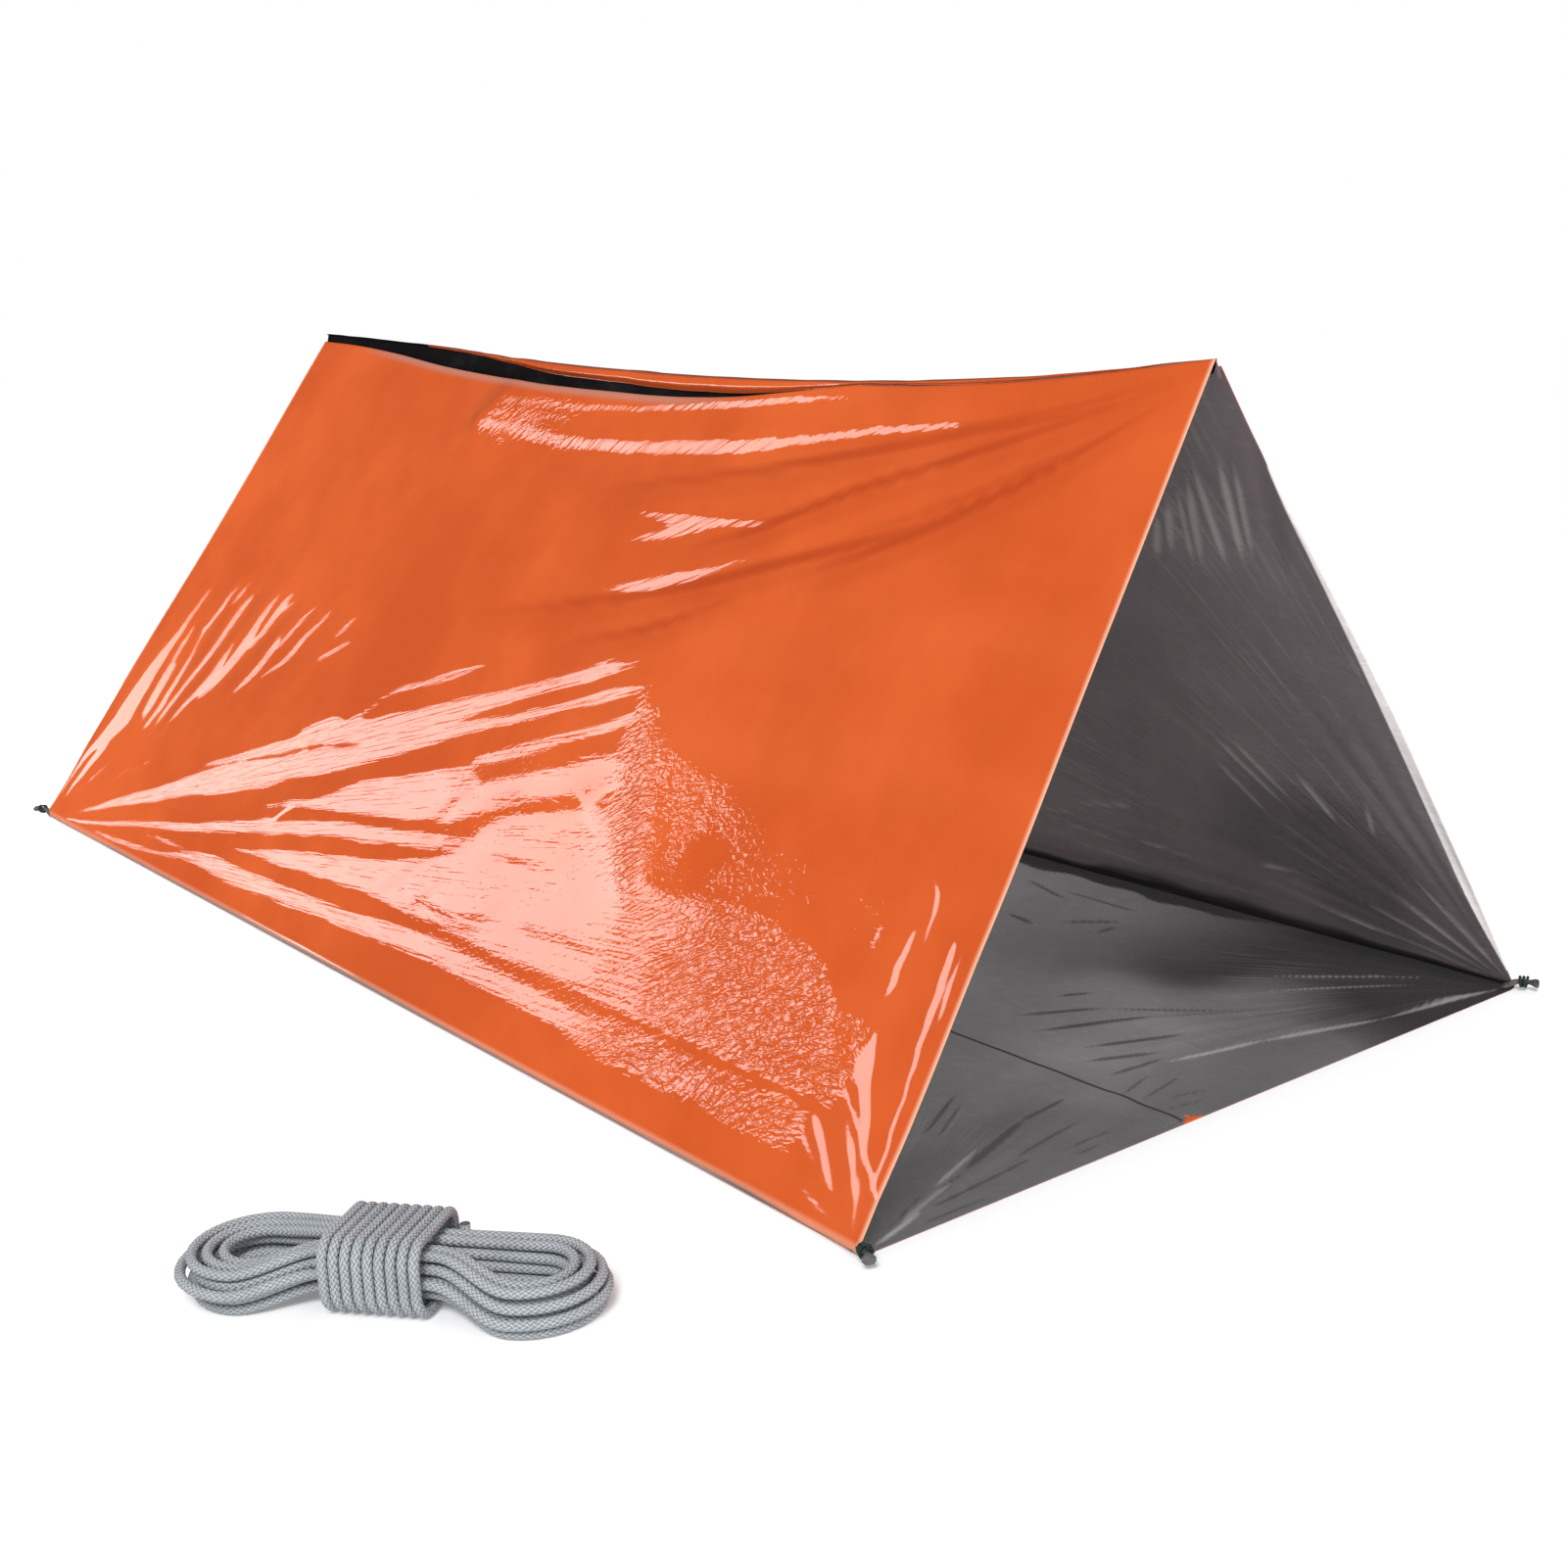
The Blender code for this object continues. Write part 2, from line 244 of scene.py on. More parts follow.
def wrapPath():
    halfWidth, halfHeight = wrapSection()
    corner = hank["wrapCorner"]
    points = []
    for index in range(hank["wrapTurns"] * hank["wrapPoints"] + 1):
        angle = 2 * math.pi * (index + 0.5) / hank["wrapPoints"]
        y = (halfWidth - corner) * math.copysign(1, math.cos(angle)) + corner * math.cos(angle)
        z = (halfHeight - corner) * math.copysign(1, math.sin(angle)) + corner * math.sin(angle)
        x = hank["wrapStep"] * (index / hank["wrapPoints"] - hank["wrapTurns"] / 2)
        points.append(Vector((x, y, cord / 2 + halfHeight + z)))
    return points


def laidOut(points):
    turn = Matrix.Rotation(hank["turn"], 3, "Z")
    return [turn @ point + Vector((*hank["place"], 0)) for point in points]


def cordTube(name, points, radius, sides, material):
    # a round tube with a UV map: U round the cord in turns, V along it in metres
    verts, faces, around, along = [], [], [], []
    normal = (points[1] - points[0]).orthogonal().normalized()
    length = 0.0
    for index, point in enumerate(points):
        ahead = points[min(index + 1, len(points) - 1)] - points[max(index - 1, 0)]
        tangent = ahead.normalized()
        normal = (normal - tangent * normal.dot(tangent)).normalized()
        side = tangent.cross(normal)
        if index:
            length += (point - points[index - 1]).length
        along.append(length)
        for k in range(sides):
            angle = 2 * math.pi * k / sides
            verts.append(point + (normal * math.cos(angle) + side * math.sin(angle)) * radius)
    for ring in range(len(points) - 1):
        for k in range(sides):
            a, b = ring * sides + k, ring * sides + (k + 1) % sides
            faces.append((a, b, b + sides, a + sides))
            around.append((ring, k))
    last = (len(points) - 1) * sides
    faces.append(tuple(range(sides))[::-1])
    faces.append(tuple(last + k for k in range(sides)))
    mesh = bpy.data.meshes.new(name)
    mesh.from_pydata(verts, [], faces)
    uv = mesh.uv_layers.new(name="UVMap").data
    for face, (ring, k) in enumerate(around):
        for corner, (step, turn) in enumerate(((0, 0), (0, 1), (1, 1), (1, 0))):
            uv[face * 4 + corner].uv = ((k + turn) / sides, along[ring + step])
    mesh.shade_smooth()
    mesh.materials.append(material)
    piece = bpy.data.objects.new(name, mesh)
    bpy.context.collection.objects.link(piece)
    return piece


def pathLength(points):
    return sum((b - a).length for a, b in zip(points, points[1:]))


def braidMaterial(name, dark, light, pitch, strands):
    # two families of strands that pass over each other by turns, as in a hollow braid
    recipe = Recipe(name, Roughness=0.74, Specular_IOR_Level=0.22)
    uv = recipe.add("ShaderNodeTexCoord", output="UV")
    turn = recipe.add("ShaderNodeSeparateXYZ", {}, {0: uv})
    along = turn.part(1) * (1 / pitch)
    right = turn * strands + along
    left = turn * strands - along
    over = ((right.maths("FLOOR") + left.maths("FLOOR")) * 0.5).maths("FRACT") * 2.0
    rightStrand = (right.maths("FRACT") * math.pi).maths("SINE")
    leftStrand = (left.maths("FRACT") * math.pi).maths("SINE")
    height = rightStrand * over + leftStrand * (1.0 - over)
    fibre = recipe.noise(recipe.scaled(uv, (18.0, 700.0, 1.0)), 1.0, detail=3.0)
    soil = recipe.noise(recipe.place(), 24.0, detail=3.0)
    # the strands' crowns are lighter and the grooves between them darker: painted shade in the grooves
    shade = recipe.mix(height.between(0.15, 0.85), dark, light)
    shade = recipe.mix(fibre.between(0.45, 0.75) * 0.4, shade, tuple(c * 1.5 for c in light))
    shade = recipe.mix(soil.between(0.45, 0.7) * 0.3, shade, tuple(c * 0.6 for c in light))
    normal = recipe.bump(height + fibre * 0.3, distance=0.0009)
    return recipe.finish(Base_Color=shade, Normal=normal)


hankCord = braidMaterial("hankCordBraid", (0.19, 0.205, 0.22), (0.47, 0.50, 0.53),
                         pitch=0.0062, strands=7)


def makeHank():
    loops, wrap = laidOut(hankPath()), laidOut(wrapPath())
    for name, points, node in (("hankLoops", loops, "cord_hank"),
                               ("hankWaistWrap", wrap, "cord_waist_wrap")):
        piece = cordTube(name, points, cord / 2, hank["sides"], hankCord)
        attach(piece, "hank")
        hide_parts(node)
        pathLength(points)


makeHank()
print("cord hank made")


# Film: helpers for smooth curves, noise and folds on a sheet

def through(x, knots):
    # a smooth curve through given (x, value) knots, level outside them
    knots = sorted(knots)
    places = np.array([knot[0] for knot in knots], float)
    values = np.array([knot[1] for knot in knots], float)
    slopes = np.gradient(values, places)
    index = np.clip(np.searchsorted(places, x) - 1, 0, len(places) - 2)
    span = places[index + 1] - places[index]
    t = np.clip((x - places[index]) / span, 0, 1)
    a, b = values[index], values[index + 1]
    start, end = slopes[index] * span, slopes[index + 1] * span
    return (a * (1 + 2 * t) * (1 - t) ** 2 + b * t * t * (3 - 2 * t)
            + start * t * (1 - t) ** 2 - end * t * t * (1 - t))


def ease(value, low=0.0, high=1.0):
    t = np.clip((value - low) / (high - low), 0, 1)
    return t * t * (3 - 2 * t)


def inside(value, low, high, soft):
    # 1 between low and high and 0 outside them, with soft edges
    return ease(value, low - soft, low + soft) * ease(-value, -high - soft, -high + soft)


lattices = {}
latticeSize = 97


def ripple(u, v, seed):
    # smooth noise from -1 to 1 on a lattice of seeded random values
    if seed not in lattices:
        lattices[seed] = np.random.RandomState(seed).uniform(-1, 1, (latticeSize, latticeSize))
    values = lattices[seed]
    u, v = u + 0 * v, v + 0 * u
    iu, iv = np.floor(u).astype(int), np.floor(v).astype(int)
    fu, fv = u - iu, v - iv
    fu, fv = fu ** 3 * (fu * (6 * fu - 15) + 10), fv ** 3 * (fv * (6 * fv - 15) + 10)
    iu, iv, ju, jv = (index % latticeSize for index in (iu, iv, iu + 1, iv + 1))
    return (values[iu, iv] * (1 - fu) * (1 - fv) + values[ju, iv] * fu * (1 - fv)
            + values[iu, jv] * (1 - fu) * fv + values[ju, jv] * fu * fv)


def curves(along, knots):
    return [through(along, [(knot[0], knot[index]) for knot in knots])
            for index in range(1, len(knots[0]))]


def fold(along, across, knots):
    # a fold that climbs between two edges and drops again up to a third. Each knot is
    # (place along, low edge, high edge, far edge, height).
    low, high, far, height = curves(along, knots)
    first, last = min(knot[0] for knot in knots), max(knot[0] for knot in knots)
    height = height * ((along > first) & (along < last))
    climb = np.clip((across - low) / np.maximum(high - low, 1e-4), 0, 1)
    drop = np.clip((far - across) / np.maximum(far - high, 1e-4), 0, 1)
    return height * np.minimum(climb, drop)


def filmSheet(name, grid, outward, thickness, materials, attributes):
    # grid is columns x rows x 3; the first material is on the side that outward points to
    columns, rows = grid.shape[:2]
    index = np.arange(columns * rows).reshape(columns, rows)
    quads = np.stack([index[:-1, :-1], index[1:, :-1], index[1:, 1:], index[:-1, 1:]], -1)
    quads = quads.reshape(-1, 4)
    middle = quads[len(quads) // 2]
    flat = grid.reshape(-1, 3)
    facing = np.cross(flat[middle[1]] - flat[middle[0]], flat[middle[3]] - flat[middle[0]])
    if facing @ np.array(outward) < 0:
        quads = quads[:, ::-1]
    mesh = bpy.data.meshes.new(name)
    mesh.from_pydata(flat.tolist(), [], quads.tolist())
    for key, values in attributes.items():
        layer = mesh.attributes.new(key, "FLOAT", "POINT")
        layer.data.foreach_set("value", values.reshape(-1).astype(np.float32))
    for material in materials:
        mesh.materials.append(material)
    mesh.shade_smooth()
    piece = bpy.data.objects.new(name, mesh)
    bpy.context.collection.objects.link(piece)
    film = piece.modifiers.new("film", "SOLIDIFY")
    film.thickness = thickness
    film.offset = -1.0
    film.material_offset = 1
    film.material_offset_rim = 0
    bpy.ops.object.select_all(action="DESELECT")
    bpy.context.view_layer.objects.active = piece
    piece.select_set(True)
    bpy.ops.object.modifier_apply(modifier="film")
    piece.select_set(False)
    return piece


tent = {"length": 2.40, "floorWidth": 1.08, "ridgeHeight": 0.83, "hinge": 0.003,
        "ridgeFront": -1.172, "ridgeBack": 1.056, "frontHeight": 0.814, "backHeight": 0.857,
        "sag": 0.040, "sagSkew": 1.6, "asideFront": -0.001, "asideBack": 0.013, "film": 0.0006,
        "creaseLow": 0.195, "creaseHigh": 0.255}      # heights up the wall; nothing in the film's shape uses them
halfLength, halfWidth = tent["length"] / 2, tent["floorWidth"] / 2
wallRun = math.hypot(halfWidth, tent["ridgeHeight"])
wallOut = np.array([-tent["ridgeHeight"], 0, halfWidth]) / wallRun    # outwards from the left wall
wallUp = np.array([halfWidth, 0, tent["ridgeHeight"]]) / wallRun


def alongRidge(y):
    return np.clip((y - tent["ridgeFront"]) / (tent["ridgeBack"] - tent["ridgeFront"]), 0, 1)


def ridgeHeight(y):
    # the ridge hangs as a shallow curve, lowest nearer the front
    share = alongRidge(y)
    lowest = 1 / (1 + tent["sagSkew"])
    drop = tent["sag"] * share / lowest * ((1 - share) / (1 - lowest)) ** tent["sagSkew"]
    return tent["frontHeight"] + (tent["backHeight"] - tent["frontHeight"]) * share - drop


def ridgeAside(y):
    return tent["asideFront"] + (tent["asideBack"] - tent["asideFront"]) * alongRidge(y)


def ridgeRun(y):
    # how far up a wall the ridge is, measured in the wall's plane
    return (ridgeHeight(y) - tent["hinge"]) * wallRun / tent["ridgeHeight"]


def leaned(base, run):
    # the cut edges lean in: a point's y, from where its column stands on the ground
    share = (base + halfLength) / tent["length"]
    top = tent["ridgeFront"] + (tent["ridgeBack"] - tent["ridgeFront"]) * share
    return base + (top - base) * run / wallRun


def onWall(side, y, run, out):
    # side is -1 at the left and 1 at the right; out is the distance outside the wall's plane
    aside = ridgeAside(y) * run / wallRun
    x = side * (halfWidth - run * wallUp[0] + out * -wallOut[0]) + aside
    z = tent["hinge"] + run * wallUp[2] + out * wallOut[2]
    return np.stack([x, y, z], -1)


def spaced(*stretches):
    # places along a line from (start, end, count) stretches that follow on
    parts = [np.linspace(start, end, count, endpoint=False) for start, end, count in stretches]
    return np.concatenate([*parts, [stretches[-1][1]]])


# Film materials

def orangeFilm():
    recipe = Recipe("orangeFilm", Specular_IOR_Level=1.0)
    place = recipe.place()
    mottle = recipe.noise(place, 2.6, detail=4.0, roughness=0.6)
    flow = recipe.noise(recipe.scaled(place, (1.0, 0.12, 1.0)), 7.0, detail=3.0)
    crinkle = recipe.attribute("crinkle")
    edge = recipe.attribute("edge")
    base = recipe.mix(mottle.between(0.35, 0.68), (0.62, 0.093, 0.018), (0.735, 0.126, 0.027))
    base = recipe.mix(flow.between(0.5, 0.8) * 0.25, base, (0.78, 0.16, 0.045))
    base = recipe.mix(recipe.attribute("shade") * 0.7, base, (0.42, 0.045, 0.008))
    # a pale colour along the film's cut edges: painted highlight
    base = recipe.mix(edge, base, (0.95, 0.55, 0.38))
    # a pale pinkish band on the roll at the near wall's top edge: painted reflection
    base = recipe.mix(recipe.attribute("topRollSheen"), base, (0.50, 0.25, 0.19))
    # short slanting strokes in the crinkled film, and fine rays out of the back corner
    hatch = recipe.plane(recipe.attribute("hatchAlong") * 0.28, recipe.attribute("hatchAcross"))
    dashes = recipe.noise(hatch, 165.0, detail=1.0, distortion=0.5)
    curls = recipe.noise(recipe.scaled(place, (1.0, 0.6, 1.0)), 105.0, detail=1.0, distortion=2.0)
    fan = recipe.plane(recipe.attribute("fanAngle"), recipe.attribute("fanFar") * 0.03)
    rays = recipe.noise(fan, 210.0, detail=2.0, roughness=0.6)
    rays = (rays - 0.5) * recipe.attribute("fanFar").between(0.1, 1.2) * recipe.attribute("lit")
    crumple = (dashes - 0.5) * 2.4 + (curls - 0.5) * 1.1
    height = crumple * crinkle + rays * 0.60 * (1.0 - crinkle)
    rough = mottle * 0.02 + crinkle * 0.02 + 0.035
    return recipe.finish(Base_Color=base, Roughness=rough, Normal=recipe.bump(height, distance=0.0010))


def greyFilm(name, tone, bumpDistance, glow):
    # The glow stands in for light that is missing inside the tent. Its strength is set by the
    # photograph's tones, and on the floor, which lies on the ground, no daylight explains it.
    recipe = Recipe(name, Specular_IOR_Level=0.30, Emission_Strength=glow)
    place = recipe.place()
    mottle = recipe.noise(place, 3.0, detail=5.0, roughness=0.6)
    wrinkle = recipe.noise(recipe.scaled(place, (1.0, 0.5, 1.0)), 16.0, detail=4.0, distortion=0.9)
    fine = recipe.noise(recipe.scaled(place, (1.0, 0.4, 1.0)), 120.0, detail=3.0, distortion=0.5)
    base = recipe.mix(mottle.between(0.35, 0.7), tone, tuple(c * 1.3 for c in tone))
    base = recipe.mix(fine.between(0.5, 0.8) * 0.3, base, tuple(c * 1.6 for c in tone))
    # darker where the crease attribute is set: painted shade in creases, folds and a corner
    base = recipe.mix(recipe.attribute("crease"), base, tuple(c * 0.12 for c in tone))
    unlit = base
    fan = recipe.plane(recipe.attribute("fanAngle"), recipe.attribute("fanFar") * 0.05)
    rays = recipe.noise(fan, 95.0, detail=2.0).between(0.54, 0.72) * recipe.attribute("fanShare")
    # lighter colour along wrinkles, glints and fine rays out of the corners: painted highlights
    streak = recipe.attribute("streak").maths("MAXIMUM", rays * 0.38)
    base = recipe.mix(streak * 0.30, base, (0.80, 0.77, 0.76))
    # a pale strip along the cut edges and the far wall's folded front edge: painted highlight
    base = recipe.mix(recipe.attribute("edge"), base, (0.92, 0.89, 0.88))
    height = (wrinkle * 2.0 - 1.0).maths("ABSOLUTE") + fine * 0.35
    return recipe.finish(Base_Color=base, Emission_Color=unlit, Roughness=wrinkle * 0.12 + 0.22,
                         Normal=recipe.bump(height, distance=bumpDistance))


def slitShadeFilm():
    # near-black, much darker than the film's grey inside: painted shade in the slit
    recipe = Recipe("slitShadeFilm", Roughness=0.60, Specular_IOR_Level=0.05)
    mottle = recipe.noise(recipe.scaled(recipe.place(), (1.0, 0.3, 1.0)), 30.0, detail=4.0)
    base = recipe.mix(mottle.between(0.45, 0.8), (0.004, 0.003, 0.004), (0.016, 0.014, 0.015))
    return recipe.finish(Base_Color=base, Normal=recipe.bump(mottle, distance=0.002))


orange = orangeFilm()
grey = greyFilm("greyFilm", (0.117, 0.099, 0.103), 0.0025, 0.27)
floorGrey = greyFilm("floorGreyFilm", (0.115, 0.109, 0.111), 0.0020, 0.78)
slit = slitShadeFilm()


# Softbox behind the tent on the left, where the near wall mirrors it towards the camera. Its
# corners are places in its own plane, (across, up) from the centre.

softbox = {"centre": np.array([-1.531, 2.644, 1.072]), "facing": np.array([0.376, -0.881, -0.286]),
           "corners": ((0.45, -0.71), (-0.18, 0.90), (-1.00, 0.78), (-1.50, 0.60), (-1.62, 0.42)),
           "radiance": 3.4}
boxFacing = softbox["facing"] / np.linalg.norm(softbox["facing"])
boxRight = np.cross((0, 0, 1), boxFacing)
boxRight = boxRight / np.linalg.norm(boxRight)
boxUp = np.cross(boxFacing, boxRight)


def mirrorSlopes(places):
    # for each corner of the softbox, the slopes (along the tent, up the wall) at which film at
    # these places mirrors it to the camera
    toEye = np.array(view["place"]) - places
    toEye = toEye / np.linalg.norm(toEye, axis=-1, keepdims=True)
    corners = []
    for across, up in softbox["corners"]:
        toLight = softbox["centre"] + across * boxRight + up * boxUp - places
        half = toEye + toLight / np.linalg.norm(toLight, axis=-1, keepdims=True)
        outward = half @ wallOut
        corners.append((-half[..., 1] / outward, -(half @ wallUp) / outward))
    return corners


def mirrorSides(places):
    # the sides of that patch of slopes: an outward direction and how far out the side is
    corners = mirrorSlopes(places)
    sides = []
    for (along, up), (nextAlong, nextUp) in zip(corners, corners[1:] + corners[:1]):
        size = np.hypot(nextAlong - along, nextUp - up)
        outAlong, outUp = (nextUp - up) / size, (along - nextAlong) / size
        sides.append([outAlong, outUp, outAlong * along + outUp * up])
    middle = [sum(corner[axis] for corner in corners) / len(corners) for axis in (0, 1)]
    for side in sides:
        turned = np.sign(side[2] - side[0] * middle[0] - side[1] * middle[1])
        side[:] = [turned * value for value in side]
    return sides


# Near wall: (y, height up the wall) knots are places on the film, in metres, set from the
# photograph. The relief is solved for the photograph's camera place and this softbox, so it gives
# the highlights seen from there and isn't a measure of the film's real shape.

nearWall = {
    # the film's slopes are settled on a grid of this step, weakly pulled to its plain form
    "step": 0.004, "top": 1.008, "rounds": 32, "pull": 10.0, "overshoot": 1.9,
    "catchMargin": 0.014, "thinMargin": 0.030, "missMargin": 0.042, "sideBias": 0.3,
    # below this line dark film climbs past the light, and above it dark film drops away from it
    "turnLine": ((1.15, 0.009), (1.00, 0.022), (0.80, 0.057), (0.60, 0.088), (0.50, 0.108),
                 (0.40, 0.130), (0.34, 0.150), (0.30, 0.178), (0.26, 0.192), (0.20, 0.205),
                 (0.15, 0.222), (0.00, 0.252), (-0.15, 0.285), (-0.30, 0.318), (-0.38, 0.340),
                 (-0.42, 0.348), (-0.44, 0.325), (-0.47, 0.305), (-0.50, 0.285), (-0.56, 0.245),
                 (-0.62, 0.225), (-0.80, 0.200),
                 (-1.00, 0.170), (-1.08, 0.140), (-1.20, 0.050)),
    "topEdge": ((-1.173, 0.966), (-1.10, 0.958), (-0.957, 0.942), (-0.79, 0.930), (-0.61, 0.926),
                (-0.46, 0.915), (-0.36, 0.908), (-0.24, 0.905), (0.027, 0.912), (0.175, 0.918),
                (0.343, 0.934), (0.527, 0.952), (0.736, 0.978), (0.91, 0.995), (1.053, 1.004)),
    # bands that catch the light along the tent: (y, low edge, high edge). The widest of them
    # is the bright patch.
    "patch": 2,
    "bands": (
        ((1.10, 0.007, 0.009), (0.80, 0.016, 0.023), (0.62, 0.033, 0.040), (0.57, 0.040, 0.053),
         (0.50, 0.041, 0.063), (0.40, 0.039, 0.064), (0.20, 0.046, 0.071), (0.00, 0.055, 0.080),
         (-0.20, 0.066, 0.094), (-0.45, 0.065, 0.095), (-0.60, 0.063, 0.092), (-0.75, 0.060, 0.089),
         (-0.90, 0.062, 0.082), (-0.98, 0.068, 0.071)),
        ((0.75, 0.046, 0.048), (0.66, 0.050, 0.055), (0.58, 0.053, 0.056)),
        ((0.42, 0.088, 0.090), (0.36, 0.091, 0.099), (0.30, 0.094, 0.112), (0.10, 0.106, 0.142),
         (0.00, 0.112, 0.157), (-0.10, 0.112, 0.180), (-0.17, 0.112, 0.200), (-0.21, 0.112, 0.222),
         (-0.25, 0.112, 0.262), (-0.30, 0.112, 0.283), (-0.385, 0.112, 0.307), (-0.45, 0.112, 0.322),
         (-0.47, 0.112, 0.325), (-0.50, 0.112, 0.310), (-0.53, 0.112, 0.290), (-0.56, 0.112, 0.272),
         (-0.62, 0.112, 0.258), (-0.70, 0.112, 0.254),
         (-0.80, 0.113, 0.262), (-0.90, 0.113, 0.258), (-1.00, 0.114, 0.225), (-1.05, 0.114, 0.170),
         (-1.08, 0.114, 0.118)),
        ((1.10, 0.010, 0.012), (1.00, 0.019, 0.025), (0.80, 0.053, 0.062), (0.60, 0.082, 0.095),
         (0.50, 0.100, 0.116), (0.40, 0.121, 0.138), (0.34, 0.131, 0.150), (0.20, 0.155, 0.178),
         (0.00, 0.183, 0.206), (-0.10, 0.198, 0.219), (-0.17, 0.209, 0.228), (-0.22, 0.222, 0.234)),
        ((0.38, 0.170, 0.172), (0.30, 0.182, 0.192), (0.22, 0.194, 0.210), (0.15, 0.202, 0.246),
         (0.00, 0.222, 0.285), (-0.10, 0.234, 0.315), (-0.15, 0.243, 0.325), (-0.19, 0.256, 0.306),
         (-0.24, 0.276, 0.326), (-0.30, 0.300, 0.341), (-0.385, 0.323, 0.369), (-0.47, 0.352, 0.386),
         (-0.52, 0.362, 0.386), (-0.57, 0.372, 0.378)),
        ((-0.15, 0.327, 0.342), (-0.24, 0.354, 0.372), (-0.326, 0.391, 0.405), (-0.415, 0.424, 0.436),
         (-0.48, 0.449, 0.458), (-0.56, 0.470, 0.473)),
        ((-0.36, 0.366, 0.371), (-0.44, 0.386, 0.392), (-0.52, 0.406, 0.410)),
        ((-0.53, 0.390, 0.396), (-0.60, 0.411, 0.415)),
        ((1.12, 0.013, 0.016), (1.05, 0.030, 0.038), (0.90, 0.074, 0.094), (0.80, 0.098, 0.124),
         (0.70, 0.128, 0.162), (0.60, 0.152, 0.196), (0.50, 0.176, 0.222), (0.40, 0.205, 0.248),
         (0.34, 0.224, 0.266), (0.20, 0.262, 0.298), (0.10, 0.297, 0.325), (0.00, 0.333, 0.356),
         (-0.15, 0.387, 0.402), (-0.30, 0.436, 0.448), (-0.43, 0.477, 0.486), (-0.47, 0.488, 0.490)),
        ((0.66, 0.190, 0.192), (0.50, 0.236, 0.247), (0.40, 0.262, 0.281), (0.34, 0.280, 0.305),
         (0.20, 0.310, 0.342), (0.10, 0.330, 0.368), (0.00, 0.362, 0.398), (-0.10, 0.404, 0.430),
         (-0.21, 0.444, 0.462), (-0.326, 0.484, 0.502), (-0.40, 0.508, 0.522), (-0.48, 0.535, 0.538)),
        ((0.38, 0.296, 0.300), (0.30, 0.325, 0.331), (0.26, 0.330, 0.333)),
        ((0.26, 0.322, 0.325), (0.20, 0.360, 0.367), (0.15, 0.395, 0.402), (0.10, 0.410, 0.417),
         (0.00, 0.444, 0.453), (-0.06, 0.468, 0.472)),
        # under the ridge
        ((0.29, 0.845, 0.849), (0.20, 0.836, 0.851), (0.10, 0.826, 0.842), (0.00, 0.820, 0.837),
         (-0.20, 0.819, 0.838), (-0.35, 0.825, 0.844), (-0.50, 0.839, 0.853), (-0.65, 0.858, 0.869),
         (-0.84, 0.877, 0.884)),
        ((0.24, 0.887, 0.891), (0.15, 0.882, 0.889), (-0.15, 0.882, 0.890), (-0.30, 0.890, 0.898),
         (-0.50, 0.902, 0.910), (-0.62, 0.909, 0.913)),
        ((0.26, 0.862, 0.866), (0.12, 0.861, 0.866), (0.02, 0.862, 0.866)),
        # short catches of light towards the front
        ((-0.25, 0.724, 0.728), (-0.35, 0.719, 0.730), (-0.45, 0.721, 0.732), (-0.57, 0.727, 0.732)),
        ((-0.26, 0.683, 0.686), (-0.31, 0.688, 0.699), (-0.36, 0.698, 0.715), (-0.42, 0.712, 0.724),
         (-0.46, 0.722, 0.725)),
        ((-0.26, 0.607, 0.610), (-0.33, 0.615, 0.628), (-0.38, 0.624, 0.642), (-0.45, 0.645, 0.657),
         (-0.57, 0.688, 0.692)),
    ),
    # strokes of light that stand up from the ground near the ends: (height, y, half width)
    "strokes": (
        ((0.01, 1.194, 0.002), (0.05, 1.187, 0.005), (0.10, 1.170, 0.006), (0.14, 1.148, 0.010),
         (0.17, 1.118, 0.019), (0.20, 1.094, 0.025), (0.25, 1.077, 0.024), (0.30, 1.059, 0.019),
         (0.36, 1.036, 0.011), (0.40, 1.023, 0.006), (0.45, 1.008, 0.004), (0.49, 0.998, 0.002)),
        ((0.01, 1.180, 0.002), (0.04, 1.163, 0.005), (0.08, 1.145, 0.008), (0.12, 1.124, 0.009),
         (0.16, 1.104, 0.007)),
        ((0.23, 1.019, 0.002), (0.27, 1.010, 0.004), (0.36, 0.995, 0.004), (0.42, 0.986, 0.002)),
        ((0.22, 1.006, 0.002), (0.28, 0.992, 0.004), (0.34, 0.982, 0.002)),
        ((0.21, 0.984, 0.003), (0.26, 0.963, 0.006), (0.31, 0.951, 0.006), (0.36, 0.940, 0.003),
         (0.42, 0.944, 0.002)),
        ((0.22, 0.950, 0.002), (0.27, 0.930, 0.006), (0.32, 0.900, 0.006), (0.37, 0.866, 0.006),
         (0.42, 0.847, 0.006), (0.48, 0.825, 0.006), (0.50, 0.811, 0.002)),
        ((0.23, 0.902, 0.002), (0.27, 0.873, 0.006), (0.30, 0.846, 0.006), (0.34, 0.813, 0.006),
         (0.38, 0.799, 0.004), (0.41, 0.789, 0.002)),
        ((0.29, 0.832, 0.002), (0.32, 0.800, 0.005), (0.36, 0.774, 0.009), (0.40, 0.754, 0.012),
         (0.43, 0.740, 0.007), (0.47, 0.724, 0.006), (0.51, 0.698, 0.002)),
        ((0.40, 0.727, 0.002), (0.45, 0.696, 0.006), (0.49, 0.676, 0.006), (0.515, 0.660, 0.002)),
        ((0.48, 0.664, 0.002), (0.50, 0.643, 0.003)),
        ((0.32, 0.703, 0.002), (0.35, 0.673, 0.006), (0.37, 0.656, 0.007), (0.41, 0.640, 0.005),
         (0.44, 0.627, 0.002)),
        ((0.415, 0.620, 0.002), (0.46, 0.588, 0.004), (0.50, 0.552, 0.002)),
        ((0.36, 0.633, 0.002), (0.39, 0.585, 0.005), (0.45, 0.537, 0.005), (0.50, 0.489, 0.002)),
        ((0.41, 0.461, 0.002), (0.44, 0.412, 0.004), (0.46, 0.374, 0.002)),
